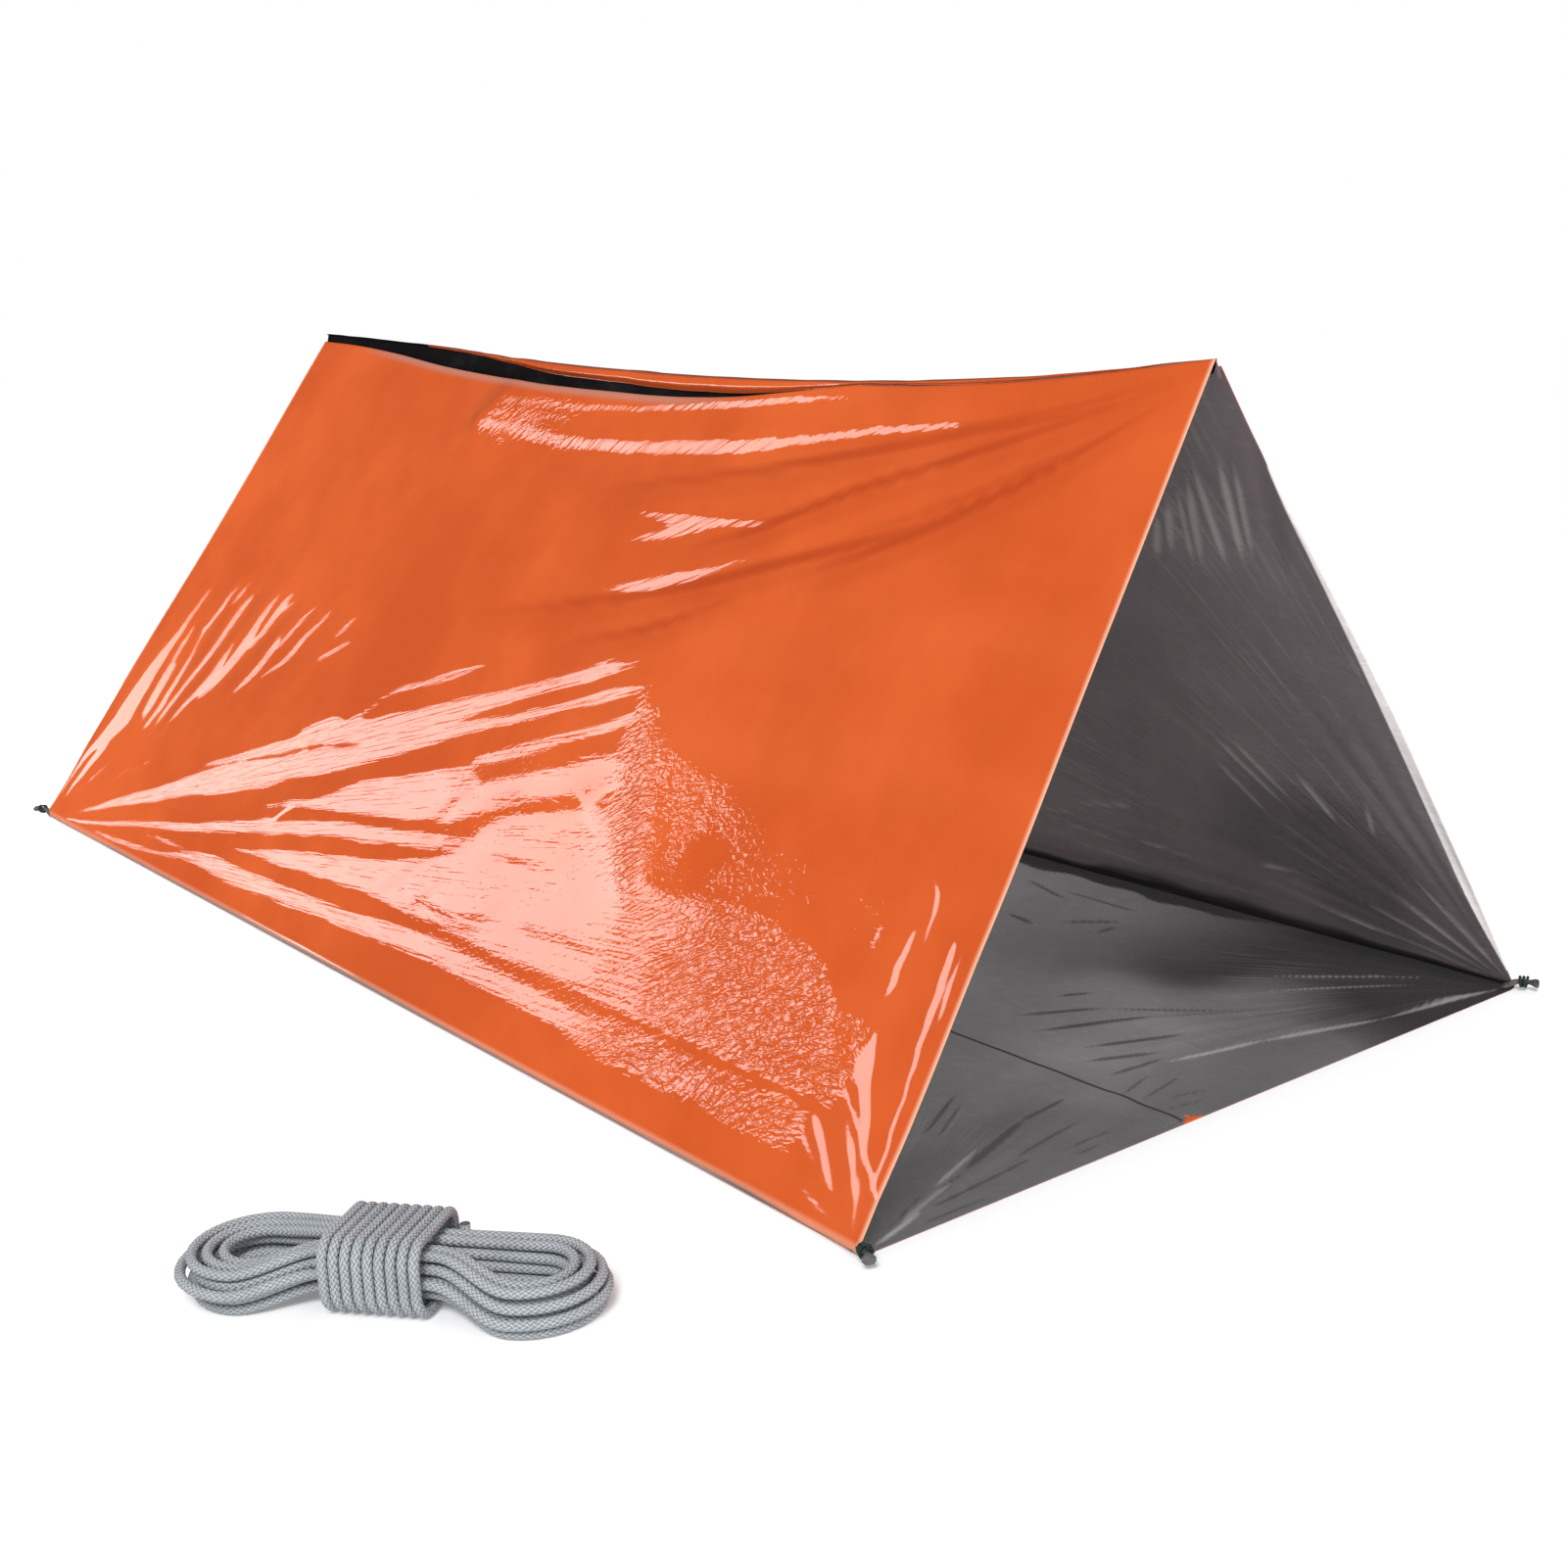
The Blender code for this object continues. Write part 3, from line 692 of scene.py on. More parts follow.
        ((0.455, 0.436, 0.002), (0.475, 0.417, 0.004), (0.495, 0.399, 0.002)),
        ((0.465, 0.877, 0.002), (0.49, 0.863, 0.004), (0.515, 0.849, 0.002)),
        ((0.415, 0.929, 0.002), (0.45, 0.914, 0.004), (0.51, 0.880, 0.002)),
        ((0.10, 0.998, 0.002), (0.12, 0.972, 0.003), (0.137, 0.948, 0.002)),
        ((0.135, 0.938, 0.002), (0.152, 0.905, 0.003), (0.166, 0.874, 0.002)),
        ((0.06, 1.120, 0.002), (0.10, 1.080, 0.005), (0.135, 1.045, 0.002)),
        # front corner
        ((0.003, -1.187, 0.001), (0.023, -1.1767, 0.003), (0.080, -1.1533, 0.004), (0.107, -1.140, 0.007),
         (0.147, -1.1133, 0.009), (0.175, -1.105, 0.007), (0.200, -1.0967, 0.003)),
        ((0.023, -1.180, 0.001), (0.047, -1.163, 0.004), (0.070, -1.143, 0.005), (0.090, -1.1267, 0.005),
         (0.113, -1.1067, 0.002)),
        ((0.140, -1.103, 0.002), (0.167, -1.093, 0.004), (0.193, -1.0817, 0.002)),
        ((0.033, -1.143, 0.002), (0.047, -1.120, 0.006), (0.067, -1.100, 0.006), (0.090, -1.0733, 0.009),
         (0.104, -1.063, 0.005)),
        ((0.050, -1.100, 0.002), (0.070, -1.067, 0.006), (0.088, -1.035, 0.007), (0.098, -1.025, 0.010),
         (0.106, -1.016, 0.005)),
        ((0.010, -1.163, 0.003), (0.023, -1.113, 0.010), (0.032, -1.080, 0.004)),
        ((0.007, -1.190, 0.001), (0.047, -1.187, 0.002), (0.100, -1.178, 0.003), (0.147, -1.172, 0.003),
         (0.213, -1.162, 0.004), (0.260, -1.157, 0.005), (0.290, -1.154, 0.0045), (0.312, -1.153, 0.002)),
        ((0.213, -1.175, 0.001), (0.250, -1.172, 0.003), (0.307, -1.167, 0.001)),
        ((0.233, -1.087, 0.002), (0.243, -1.091, 0.004), (0.267, -1.090, 0.005), (0.313, -1.093, 0.002)),
        ((0.293, -1.113, 0.002), (0.333, -1.107, 0.003), (0.355, -1.098, 0.004), (0.367, -1.080, 0.003)),
        ((0.273, -1.042, 0.002), (0.287, -1.041, 0.003), (0.302, -1.040, 0.002)),
    ),
    # thin dark cracks across the bands: (y, height) from, (y, height) to, half width
    "cracks": (
        ((0.46, 0.238), (0.35, 0.272), 0.0026), ((0.39, 0.232), (0.33, 0.290), 0.0026),
        ((0.345, 0.240), (0.285, 0.318), 0.0026), ((-0.125, 0.225), (-0.155, 0.330), 0.0034),
        ((-0.145, 0.250), (-0.165, 0.318), 0.0026), ((0.05, 0.302), (-0.14, 0.318), 0.0022),
        ((-0.12, 0.178), (-0.175, 0.226), 0.0030), ((-0.05, 0.112), (-0.115, 0.175), 0.0024),
        ((-0.15, 0.112), (-0.20, 0.166), 0.0022), ((-0.14, 0.132), (-0.34, 0.128), 0.0022),
        ((-0.29, 0.138), (-0.36, 0.152), 0.0030), ((-0.40, 0.155), (-0.62, 0.162), 0.0018),
        ((-0.26, 0.222), (-0.46, 0.238), 0.0016), ((-0.50, 0.292), (-0.62, 0.284), 0.0022),
        ((-0.58, 0.262), (-0.66, 0.272), 0.0024), ((-0.70, 0.180), (-0.92, 0.172), 0.0020),
        ((-0.73, 0.262), (-0.80, 0.272), 0.0026), ((-0.731, 0.250), (-0.734, 0.120), 0.0022),
        ((-0.22, 0.288), (-0.33, 0.325), 0.0020), ((-0.30, 0.322), (-0.40, 0.345), 0.0022),
    ),
    # where the bands of light end they break up into crinkles
    "broken": (((-0.46, 0.49), (-0.64, 0.22), 0.034),),
    # soft folds that fan out of the front apex: (y, low edge, crest, far edge, relief)
    "apex": (
        ((-1.15, 0.950, 0.953, 0.957, 0.0002), (-1.00, 0.905, 0.911, 0.920, 0.0012),
         (-0.80, 0.868, 0.874, 0.884, 0.0012), (-0.50, 0.835, 0.840, 0.850, 0.0002)),
        ((-1.13, 0.900, 0.905, 0.912, 0.0002), (-1.00, 0.838, 0.846, 0.858, 0.0014),
         (-0.85, 0.770, 0.778, 0.790, 0.0012), (-0.70, 0.715, 0.722, 0.735, 0.0002)),
        ((-1.16, 0.944, 0.948, 0.954, 0.0002), (-0.90, 0.850, 0.862, 0.880, 0.0020),
         (-0.70, 0.785, 0.798, 0.822, 0.0030), (-0.55, 0.722, 0.735, 0.762, 0.0022),
         (-0.40, 0.680, 0.690, 0.715, 0.0002)),
        ((-1.15, 0.925, 0.932, 0.938, 0.0002), (-0.95, 0.795, 0.808, 0.830, 0.0026),
         (-0.85, 0.742, 0.756, 0.784, 0.0026), (-0.60, 0.640, 0.652, 0.690, 0.0002)),
        ((-1.13, 0.915, 0.922, 0.930, 0.0002), (-0.90, 0.875, 0.888, 0.902, 0.0016),
         (-0.50, 0.805, 0.818, 0.838, 0.0020), (-0.10, 0.745, 0.755, 0.780, 0.0002)),
        ((-1.00, 0.800, 0.806, 0.820, 0.0002), (-0.75, 0.715, 0.728, 0.752, 0.0020),
         (-0.30, 0.596, 0.610, 0.640, 0.0018), (0.05, 0.535, 0.545, 0.570, 0.0002)),
        ((-0.60, 0.648, 0.655, 0.670, 0.0002), (-0.45, 0.580, 0.592, 0.620, 0.0020),
         (-0.20, 0.512, 0.522, 0.550, 0.0002)),
    ),
}


def nearTop(y):
    return through(y, nearWall["topEdge"])


def onStroke(x, y, start, end):
    # how far along a stroke a place is, from 0 to 1, and how far beside it in metres
    (x0, y0), (x1, y1) = start, end
    length = math.hypot(x1 - x0, y1 - y0)
    along = ((x - x0) * (x1 - x0) + (y - y0) * (y1 - y0)) / length ** 2
    across = ((x - x0) * (y1 - y0) - (y - y0) * (x1 - x0)) / length
    return along, across


def strokes(x, y, segments, soft=0.0008):
    # 1 on straight strokes that taper at both ends
    out = np.zeros_like(x)
    for start, end, half in segments:
        along, across = onStroke(x, y, start, end)
        across = np.abs(across)
        wide = half * ease(along, 0.0, 0.3) * ease(-along, -1.0, -0.7)
        out = np.maximum(out, (wide > 0) * ease(wide - across, -soft, soft))
    return out


def litShare(y, run):
    # 1 where the near wall catches the light
    rough = 0.0022 * ripple(y * 22, run * 60, 3)
    lit = np.zeros_like(y)
    for knots in nearWall["bands"]:
        low, high = curves(y, knots)
        first, last = min(knot[0] for knot in knots), max(knot[0] for knot in knots)
        share = np.clip((high - low) / 0.02, 0, 1)
        lit = np.maximum(lit, inside(y, first, last, 0.008) * inside(run + rough * share, low, high, 0.002))
    for knots in nearWall["strokes"]:
        middle, half = curves(run, knots)
        ends = inside(run, knots[0][0], knots[-1][0], 0.006)
        lit = np.maximum(lit, ends * ease(half - np.abs(y + rough - middle), -0.0025, 0.0025))
    return lit * (1 - strokes(y, run, nearWall["cracks"]))


def patchTop(y):
    return through(y, [(knot[0], knot[2]) for knot in nearWall["bands"][nearWall["patch"]]])


def crinkleZone(y, run):
    # how finely crumpled the film is, from 0 to 1
    top = np.where(y < -0.9, np.maximum(patchTop(y), 0.20), patchTop(y))
    ragged = -y + 0.05 * ripple(y * 16, run * 22, 63)
    dense = ease(ragged, 0.64, 0.80) * inside(run, 0.116, top + 0.004, 0.006) * ease(y, -1.10, -1.06)
    loose = np.maximum(0.8 * looseZone(y, run), 0.9 * strokes(y, run, nearWall["broken"], 0.025))
    skirt = ease(-y, 0.58, 0.74) * inside(run, 0.055, 0.098, 0.006) * ease(y, -1.06, -1.02)
    quiet = 0.10 * ease(-y, -0.1, 0.4) * inside(run, 0.06, 0.40, 0.03) * ease(y, -1.0, -0.8)
    under = 0.28 * inside(y, 0.02, 0.27, 0.05) * inside(run, 0.80, 0.90, 0.01)
    return np.clip(np.maximum(dense, skirt) + loose + quiet + under, 0, 1)


def looseZone(y, run):
    # above the bright patch, where only flecks catch the light
    top = through(y, ((-0.44, 0.450), (-0.52, 0.435), (-0.60, 0.410), (-0.70, 0.395), (-0.80, 0.355),
                      (-0.95, 0.335)))
    share = inside(y, -1.06, -0.50, 0.06) * inside(run, patchTop(y) + 0.010, top, 0.025)
    flecked = ease(ripple(y * 14 + 3, run * 22, 5), -0.7, 0.2)
    return share * flecked * (0.16 + 0.50 * ease(y, -0.82, -0.62))


def hatching(y, run):
    # coordinates along and across the strokes of the crinkled film, which slant and wander
    slant, wander = 0.45, 0.030
    along = run * math.sin(slant) - y * math.cos(slant) + wander * ripple(y * 7, run * 7, 61)
    across = run * math.cos(slant) + y * math.sin(slant) + wander * ripple(y * 7, run * 7, 62)
    return {"hatchAlong": along, "hatchAcross": across}


def raysAround(along, across, reach, strength):
    # places round a corner for the fine rays out of it, and how strongly they show. On the grey
    # film the rays are painted highlights.
    far = np.hypot(along, across)
    share = strength * inside(far, 0.10, reach, 0.12) * (0.5 + 0.5 * ripple(along * 5, across * 5, 52))
    return {"fanAngle": np.arctan2(across, along), "fanFar": far, "fanShare": np.maximum(share, 0)}


def foldShade(y, run):
    # 1 in the hollows beside the folds that fan out of the front apex
    shade = np.zeros_like(y)
    for knots in nearWall["apex"]:
        low, crest, far, height = curves(y, knots)
        ends = inside(y, knots[0][0], knots[-1][0], 0.04)
        strength = np.clip(height / 0.0024, 0, 1) * ends
        shade = np.maximum(shade, strength * inside(run, low - 0.003, crest, 0.006))
        shade = np.maximum(shade, 0.35 * strength * inside(run, low - 0.030, low, 0.014))
    return shade


def plainRelief(y, run):
    # the folds out of the apex and the film's slow waves
    out = 0.003 * ripple(y * 2.2 + 7, run * 3.0, 11) * ease(run, 0.1, 0.4)
    for knots in nearWall["apex"]:
        out += fold(y, run, knots)
    return out


def settled(along, up, plain):
    # heights whose slopes come nearest to the wanted ones, by Fourier series that are even at
    # the sheet's edges
    step, pull = nearWall["step"], nearWall["pull"]
    load = pull * plain
    flow = (along[1:] + along[:-1]) / (2 * step)
    load[:-1] -= flow
    load[1:] += flow
    flow = (up[:, 1:] + up[:, :-1]) / (2 * step)
    load[:, :-1] -= flow
    load[:, 1:] += flow
    load = np.concatenate([load, load[:, ::-1]], 1)
    load = np.concatenate([load, load[::-1]], 0)
    stiff = [(2 - 2 * np.cos(2 * np.pi * np.arange(count) / size)) / step ** 2
             for count, size in ((load.shape[0], load.shape[0]), (load.shape[1] // 2 + 1, load.shape[1]))]
    spectrum = np.fft.rfft2(load) / (stiff[0][:, None] + stiff[1] + pull)
    return np.fft.irfft2(spectrum, load.shape)[:plain.shape[0], :plain.shape[1]]


def nearRelief():
    # The film's relief on a regular grid. Turn by turn its slopes are moved into the patch that
    # mirrors the softbox to the camera's place inside the bands, and out of it elsewhere, and the
    # film settles to them.
    step = nearWall["step"]
    y, run = np.meshgrid(spaced((-halfLength, halfLength, round(tent["length"] / step))),
                         spaced((0, nearWall["top"], round(nearWall["top"] / step))),
                         indexing="ij")
    plain = plainRelief(y, run)
    lit = litShare(y, run)
    sides = mirrorSides(onWall(-1, y, run, 0 * y))
    climbs = np.where(run < through(y, nearWall["turnLine"]), 1, -1)
    bias = [nearWall["sideBias"] * (side[1] * climbs - 1) for side in sides]
    thin = np.maximum(ease(run, 0.56, 0.60), ease(-y, 1.00, 1.04))
    catch = nearWall["catchMargin"] + (nearWall["thinMargin"] - nearWall["catchMargin"]) * thin
    miss = nearWall["missMargin"] * (1 - looseZone(y, run)) * (1 - 0.4 * thin)
    out = plain.copy()
    for _ in range(nearWall["rounds"]):
        along, up = np.gradient(out, step, axis=0), np.gradient(out, step, axis=1)
        past = [side[0] * along + side[1] * up - side[2] for side in sides]
        depth = np.max(past, axis=0)
        nearest = np.argmax([one + other for one, other in zip(past, bias)], axis=0)
        awayAlong, awayUp = along.copy(), up.copy()
        for index, side in enumerate(sides):
            push = np.where((nearest == index) & (depth < miss), miss - past[index], 0)
            awayAlong += push * side[0]
            awayUp += push * side[1]
        intoAlong, intoUp = along.copy(), up.copy()
        for side in sides * 2:
            push = np.maximum(side[0] * intoAlong + side[1] * intoUp - side[2] + catch, 0)
            intoAlong -= push * side[0]
            intoUp -= push * side[1]
        along += nearWall["overshoot"] * (awayAlong + (intoAlong - awayAlong) * lit - along)
        up += nearWall["overshoot"] * (awayUp + (intoUp - awayUp) * lit - up)
        out = settled(along, up, plain)
    return out


def onGrid(values, y, run):
    # values of the regular grid at other places
    down = np.clip((y + halfLength) / nearWall["step"], 0, values.shape[0] - 1.001)
    across = np.clip(run / nearWall["step"], 0, values.shape[1] - 1.001)
    i, j = down.astype(int), across.astype(int)
    u, v = down - i, across - j
    return (values[i, j] * (1 - u) * (1 - v) + values[i + 1, j] * u * (1 - v)
            + values[i, j + 1] * (1 - u) * v + values[i + 1, j + 1] * u * v)


def makeNearWall():
    base = spaced((-1.2, -1.0, 58), (-1.0, -0.2, 50), (-0.2, -0.1, 14), (-0.1, 0.25, 22),
                  (0.25, 1.2, 132))
    share = spaced((0, 0.55, 114), (0.55, 0.66, 8), (0.66, 0.81, 20), (0.81, 0.89, 6), (0.89, 1.0, 30))
    columns, shares = np.meshgrid(base, share, indexing="ij")
    y = columns.copy()
    for _ in range(4):                            # the column leans, so its top depends on its y
        run = shares * nearTop(y)
        y = leaned(columns, run)
    out = onGrid(nearRelief(), y, run)
    lit = litShare(y, run) * ease(y, -1.02, -0.85)
    out += 0.0004 * crinkleZone(y, run) * ripple(y * 50 + run * 20, run * 62 - y * 12, 21)
    print("near wall relief from", out.min().round(4), "to", out.max().round(4))
    grid = onWall(-1, y, run, out)
    grid[..., 2] = np.maximum(grid[..., 2], 0.001)
    cut = np.minimum(columns + halfLength, halfLength - columns)
    # pale at the cut ends and along the foot: painted highlight on the edges
    edge = np.maximum(ease(-cut, -0.005, -0.002) * 0.8, ease(-run, -0.007, -0.003) * 0.5)
    piece = filmSheet("leftWallFilm", grid, (-1, 0, 0.6), tent["film"], (orange, grey),
                      {"crinkle": crinkleZone(y, run), "edge": edge, "shade": foldShade(y, run), "lit": lit,
                       # painted reflection on the roll at the top edge
                       "topRollSheen": 0.7 * inside(y, -0.30, 0.80, 0.12) * ease(run - nearTop(y), -0.016, -0.005),
                       "fanAngle": np.arctan2(run + 0.03, 1.24 - y),
                       "fanFar": np.hypot(run + 0.03, 1.24 - y), **hatching(y, run)})
    onWall(-1, 0.0, tent["creaseLow"], 0.0)
    onWall(-1, 0.0, tent["creaseHigh"], 0.0)
    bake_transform(piece)
    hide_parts("left_wall_lower", "left_wall_upper")


makeNearWall()
print("near wall made")


# Far wall

farWall = {
    "folds": (
        ((-1.12, 0.012, 0.018, 0.030, 0.0003), (-0.60, 0.050, 0.075, 0.110, 0.006),
         (-0.10, 0.110, 0.150, 0.210, 0.005), (0.40, 0.220, 0.260, 0.330, 0.0004)),
        ((-1.08, 0.052, 0.060, 0.075, 0.0003), (-0.60, 0.180, 0.210, 0.250, 0.006),
         (-0.10, 0.340, 0.380, 0.430, 0.0004)),
        ((1.12, 0.012, 0.018, 0.030, 0.0003), (0.60, 0.072, 0.100, 0.135, 0.007),
         (0.10, 0.155, 0.190, 0.235, 0.005), (-0.30, 0.230, 0.270, 0.320, 0.0004)),
        ((1.08, 0.072, 0.080, 0.095, 0.0003), (0.65, 0.235, 0.260, 0.300, 0.006),
         (0.20, 0.420, 0.460, 0.510, 0.0004)),
        ((0.95, 0.890, 0.900, 0.915, 0.0003), (0.40, 0.830, 0.850, 0.880, 0.004),
         (-0.20, 0.810, 0.830, 0.860, 0.004), (-0.95, 0.872, 0.880, 0.895, 0.0003)),
    ),
    # pleats and wrinkles that catch the light, painted lighter as highlights: (y, height) from, (y, height)
    # to, half width
    "streaks": (
        ((-1.132, 0.835), (-1.088, 0.690), 0.0040), ((-1.112, 0.840), (-1.070, 0.680), 0.0050),
        ((-1.070, 0.835), (-1.042, 0.672), 0.0050), ((-1.050, 0.810), (-1.000, 0.672), 0.0060),
        ((-1.022, 0.790), (-0.985, 0.672), 0.0035), ((-1.000, 0.775), (-0.960, 0.690), 0.0050),
        ((-0.970, 0.750), (-0.930, 0.680), 0.0045),
        ((-0.865, 0.385), (-0.945, 0.255), 0.0040), ((-0.895, 0.385), (-0.965, 0.270), 0.0035),
        ((-0.850, 0.330), (-0.905, 0.240), 0.0030), ((-0.985, 0.330), (-1.022, 0.250), 0.0030),
        ((-1.085, 0.300), (-1.075, 0.240), 0.0025),
        ((-1.190, 0.020), (-1.105, 0.185), 0.0040), ((-1.185, 0.030), (-1.135, 0.140), 0.0030),
        ((-1.180, 0.015), (-1.060, 0.135), 0.0030), ((-1.175, 0.012), (-0.985, 0.110), 0.0035),
        ((-1.160, 0.008), (-0.905, 0.070), 0.0030), ((-0.950, 0.118), (-0.840, 0.125), 0.0030),
        ((-0.700, 0.100), (-0.590, 0.112), 0.0030), ((-0.560, 0.085), (-0.400, 0.110), 0.0030),
        ((-0.640, 0.190), (-0.500, 0.165), 0.0030), ((-0.480, 0.140), (-0.370, 0.120), 0.0030),
    ),
    # the folded edge at the front opening, painted pale as a highlight: (height, width)
    "edgeWidth": ((0.02, 0.0), (0.08, 0.006), (0.16, 0.012), (0.30, 0.0145), (0.44, 0.013),
                  (0.56, 0.009), (0.70, 0.005), (0.80, 0.002), (0.86, 0.0)),
    # how far apart the two walls' tops are along the ridge: (y, width)
    "crest": ((-1.172, 0.0075), (-1.10, 0.016), (-1.00, 0.030), (-0.85, 0.050), (-0.50, 0.064),
              (0.00, 0.049), (0.30, 0.034), (0.60, 0.030), (0.85, 0.026), (1.056, 0.009)),
}


def farTop(y):
    return ridgeRun(y) - 0.010


def farShift(y):
    # how far the far wall's top moves sideways, so that the crest has its width
    apart = tent["floorWidth"] - 2 * wallUp[0] * (ridgeRun(y) - 0.006)
    return through(y, farWall["crest"]) - apart


def farRelief(y, run):
    out = np.zeros_like(y)
    for knots in farWall["folds"]:
        out += fold(y, run, knots)
    # pocket along the ground, where the film folds from wall to floor
    pocket = 0.010 * (0.6 + 0.4 * ease(-np.abs(y + 0.6), -0.35, 0.0))
    out += pocket * np.sin(np.pi * np.clip(run / 0.045, 0, 1)) * ease(halfLength - np.abs(y), 0, 0.25)
    # pleats high in the front
    pleats = inside(run, 0.68, 0.87, 0.02) * ease(-y, 0.85, 0.92)
    out += 0.0030 * pleats * ripple((y + run * 0.28) * 45, run * 3, 31)
    # wrinkles out of the ground corners
    for end, depth, reach in ((-1, 0.0026, 0.75), (1, 0.003, 1.1)):
        angle = np.arctan2(run, halfLength - end * y)
        far = np.hypot(run, halfLength - end * y)
        out += depth * ease(far, 0.02, 0.2) * ease(-far, -reach, -0.25) \
            * ripple(angle * 18, far * 3.0, 33 + end)
    out += 0.004 * ripple(y * 2.2 + 3, run * 3.0, 37) * ease(run, 0.1, 0.4)
    fine = ripple(y * 16 + run * 22, run * 26 - y * 12, 39)
    out += 0.0009 * fine * ease(run, 0.02, 0.1) * ease(y, -0.9, -0.6)
    return out


def makeFarWall():
    base = spaced((-1.2, -1.184, 12), (-1.184, -0.84, 100), (-0.84, -0.3, 80), (-0.3, 1.2, 80))
    share = spaced((0, 0.10, 24), (0.10, 1.0, 110))
    columns, shares = np.meshgrid(base, share, indexing="ij")
    y = columns.copy()
    for _ in range(4):
        run = shares * farTop(y)
        y = leaned(columns, run)
    out = farRelief(y, run)
    cut = columns + halfLength
    width = np.maximum(through(run, farWall["edgeWidth"]), 0)
    streak = strokes(y, run, farWall["streaks"], 0.0025)
    out += 0.3 * np.maximum(width - cut, 0) - 0.0015 * streak
    grid = onWall(1, y, run, out)
    grid[..., 0] += farShift(y) * ease(run / farTop(y), 0.4, 1.0)
    grid[..., 2] = np.maximum(grid[..., 2], 0.001)
    # the pale strip along the folded front edge and the back cut is painted highlight
    edge = ease(width - cut, -0.0008, 0.0008) * (width > 0.001)
    # painted shade: a dark band along the foot where the wall folds to the floor, and a darker cloudy patch
    # low at the front
    dark = inside(y, -1.3, -0.2, 0.1) * ease(-run, -0.020 - 0.010 * ripple(y * 12, y * 0, 43), -0.006)
    cloudy = 0.06 * ripple(y * 8, run * 8, 49)
    low = inside(y + cloudy, -1.14, -0.80, 0.10) * inside(run + cloudy, 0.07, 0.26, 0.08)
    dark = np.maximum(dark, 0.38 * low)
    backEdge = ease(-(halfLength - columns), -0.005, -0.002) * 0.8
    piece = filmSheet("rightWallFilm", grid, (1, 0, 0.6), tent["film"], (orange, grey),
                      {"crinkle": 0.25 + 0 * y, "crease": dark, "streak": streak,
                       "edge": np.maximum(edge, backEdge), **raysAround(y + halfLength, run, 0.95, 1.8)})
    onWall(1, 0.0, tent["creaseHigh"], 0.0)
    onWall(1, 0.0, tent["creaseLow"], 0.0)
    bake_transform(piece)
    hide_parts("right_wall_upper", "right_wall_lower")


makeFarWall()
print("far wall made")


# Ridge film: the slack strip over the ridge, with a slit coloured near-black: painted shade

ridgeFilm = {"under": 0.022, "nearUnder": 0.014, "slackUnder": 0.022,
             "turned": 0.62,                          # behind this y the strip's near part is near-black too: painted shade
             "slitWidth": ((-1.173, 0.002), (-0.61, 0.005), (-0.46, 0.007), (-0.24, 0.016),
                           (0.03, 0.024), (0.34, 0.032), (0.53, 0.034), (0.74, 0.023), (1.053, 0.015))}


def makeRidgeFilm():
    y = spaced((tent["ridgeFront"], tent["ridgeBack"] - 0.001, 300))
    top = ridgeRun(y)
    near = nearTop(y)
    slitTop = np.minimum(near + through(y, ridgeFilm["slitWidth"]), top - 0.0015)
    shoulder = np.maximum(top - 0.006, slitTop + 0.0005)
    slack = ease(y, -0.62, -0.30)
    # (height up the near wall, distance outside it) of the strip's lengthwise lines; inside the
    # wall they go no deeper than the far wall leaves room for
    under = ridgeFilm["nearUnder"] + ridgeFilm["slackUnder"] * slack
    lines = ((near - under, -0.004 + 0 * slack), (near - 0.006, -0.003 - 0.009 * slack),
             (near + 0.002, -0.0025 - 0.010 * slack), (slitTop - 0.003, -0.0025 - 0.008 * slack),
             (slitTop, -0.002 - 0.004 * slack),
             (slitTop + (shoulder - slitTop) * 0.3, -0.001 + 0.003 * slack),
             (shoulder, 0.003 * slack))
    lines = [(run, np.maximum(out, -0.0005 - 0.35 * np.maximum(top - run, 0))) for run, out in lines]
    points, dark = [], []
    steps = 4
    for index, (first, second) in enumerate(zip(lines, lines[1:])):
        for share in np.arange(steps) / steps:
            run = first[0] + (second[0] - first[0]) * share
            out = first[1] + (second[1] - first[1]) * share
            points.append(onWall(-1, y, run, out))
            dark.append(index < 4 and not (index == 3 and share > 0.5))
    # over the crest and down under the far wall
    shift = farShift(y)[:, None] * np.array((1, 0, 0))
    crest = onWall(-1, y, shoulder, 0.003 * slack)
    far = onWall(1, y, shoulder, -0.002 + 0 * y) + shift
    apex = (crest + far) / 2
    apex[:, 2] = ridgeHeight(y)
    for share in np.linspace(0, 1, 7):
        points.append(crest * (1 - share) ** 2 + 2 * apex * share * (1 - share) + far * share ** 2)
        dark.append(False)
    for share in np.linspace(0.2, 1, 5):
        run = shoulder - ridgeFilm["under"] * share
        points.append(onWall(1, y, run, -0.002 - 0.002 * share + 0 * y) + shift)
        dark.append(False)
    grid = np.stack(points, 1)
    grid[..., 2] += 0.0008 * ripple(y * 18, y * 0, 41)[:, None]
    plain = np.zeros(grid.shape[:2])
    piece = filmSheet("ridgeFilm", grid, (-1, 0, 1.0), tent["film"], (orange, grey, slit),
                      {"crinkle": 0.3 + plain, "edge": plain})
    nearHalf = steps * (len(lines) - 1) + 3       # lines on the near side of the crest
    # outer faces in the slit, and on the near side behind the turn, take the near-black colour: painted
    # shade
    for polygon in piece.data.polygons:
        lowest = min(vertex % len(dark) for vertex in polygon.vertices)
        turned = polygon.center.y > ridgeFilm["turned"] and lowest < nearHalf
        if polygon.material_index == 0 and (dark[lowest] or turned):
            polygon.material_index = 2
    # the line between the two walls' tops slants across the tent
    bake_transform(piece)
    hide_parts("ridge_roll")


makeRidgeFilm()
print("ridge film made")


# Floor sheet and its welded lap

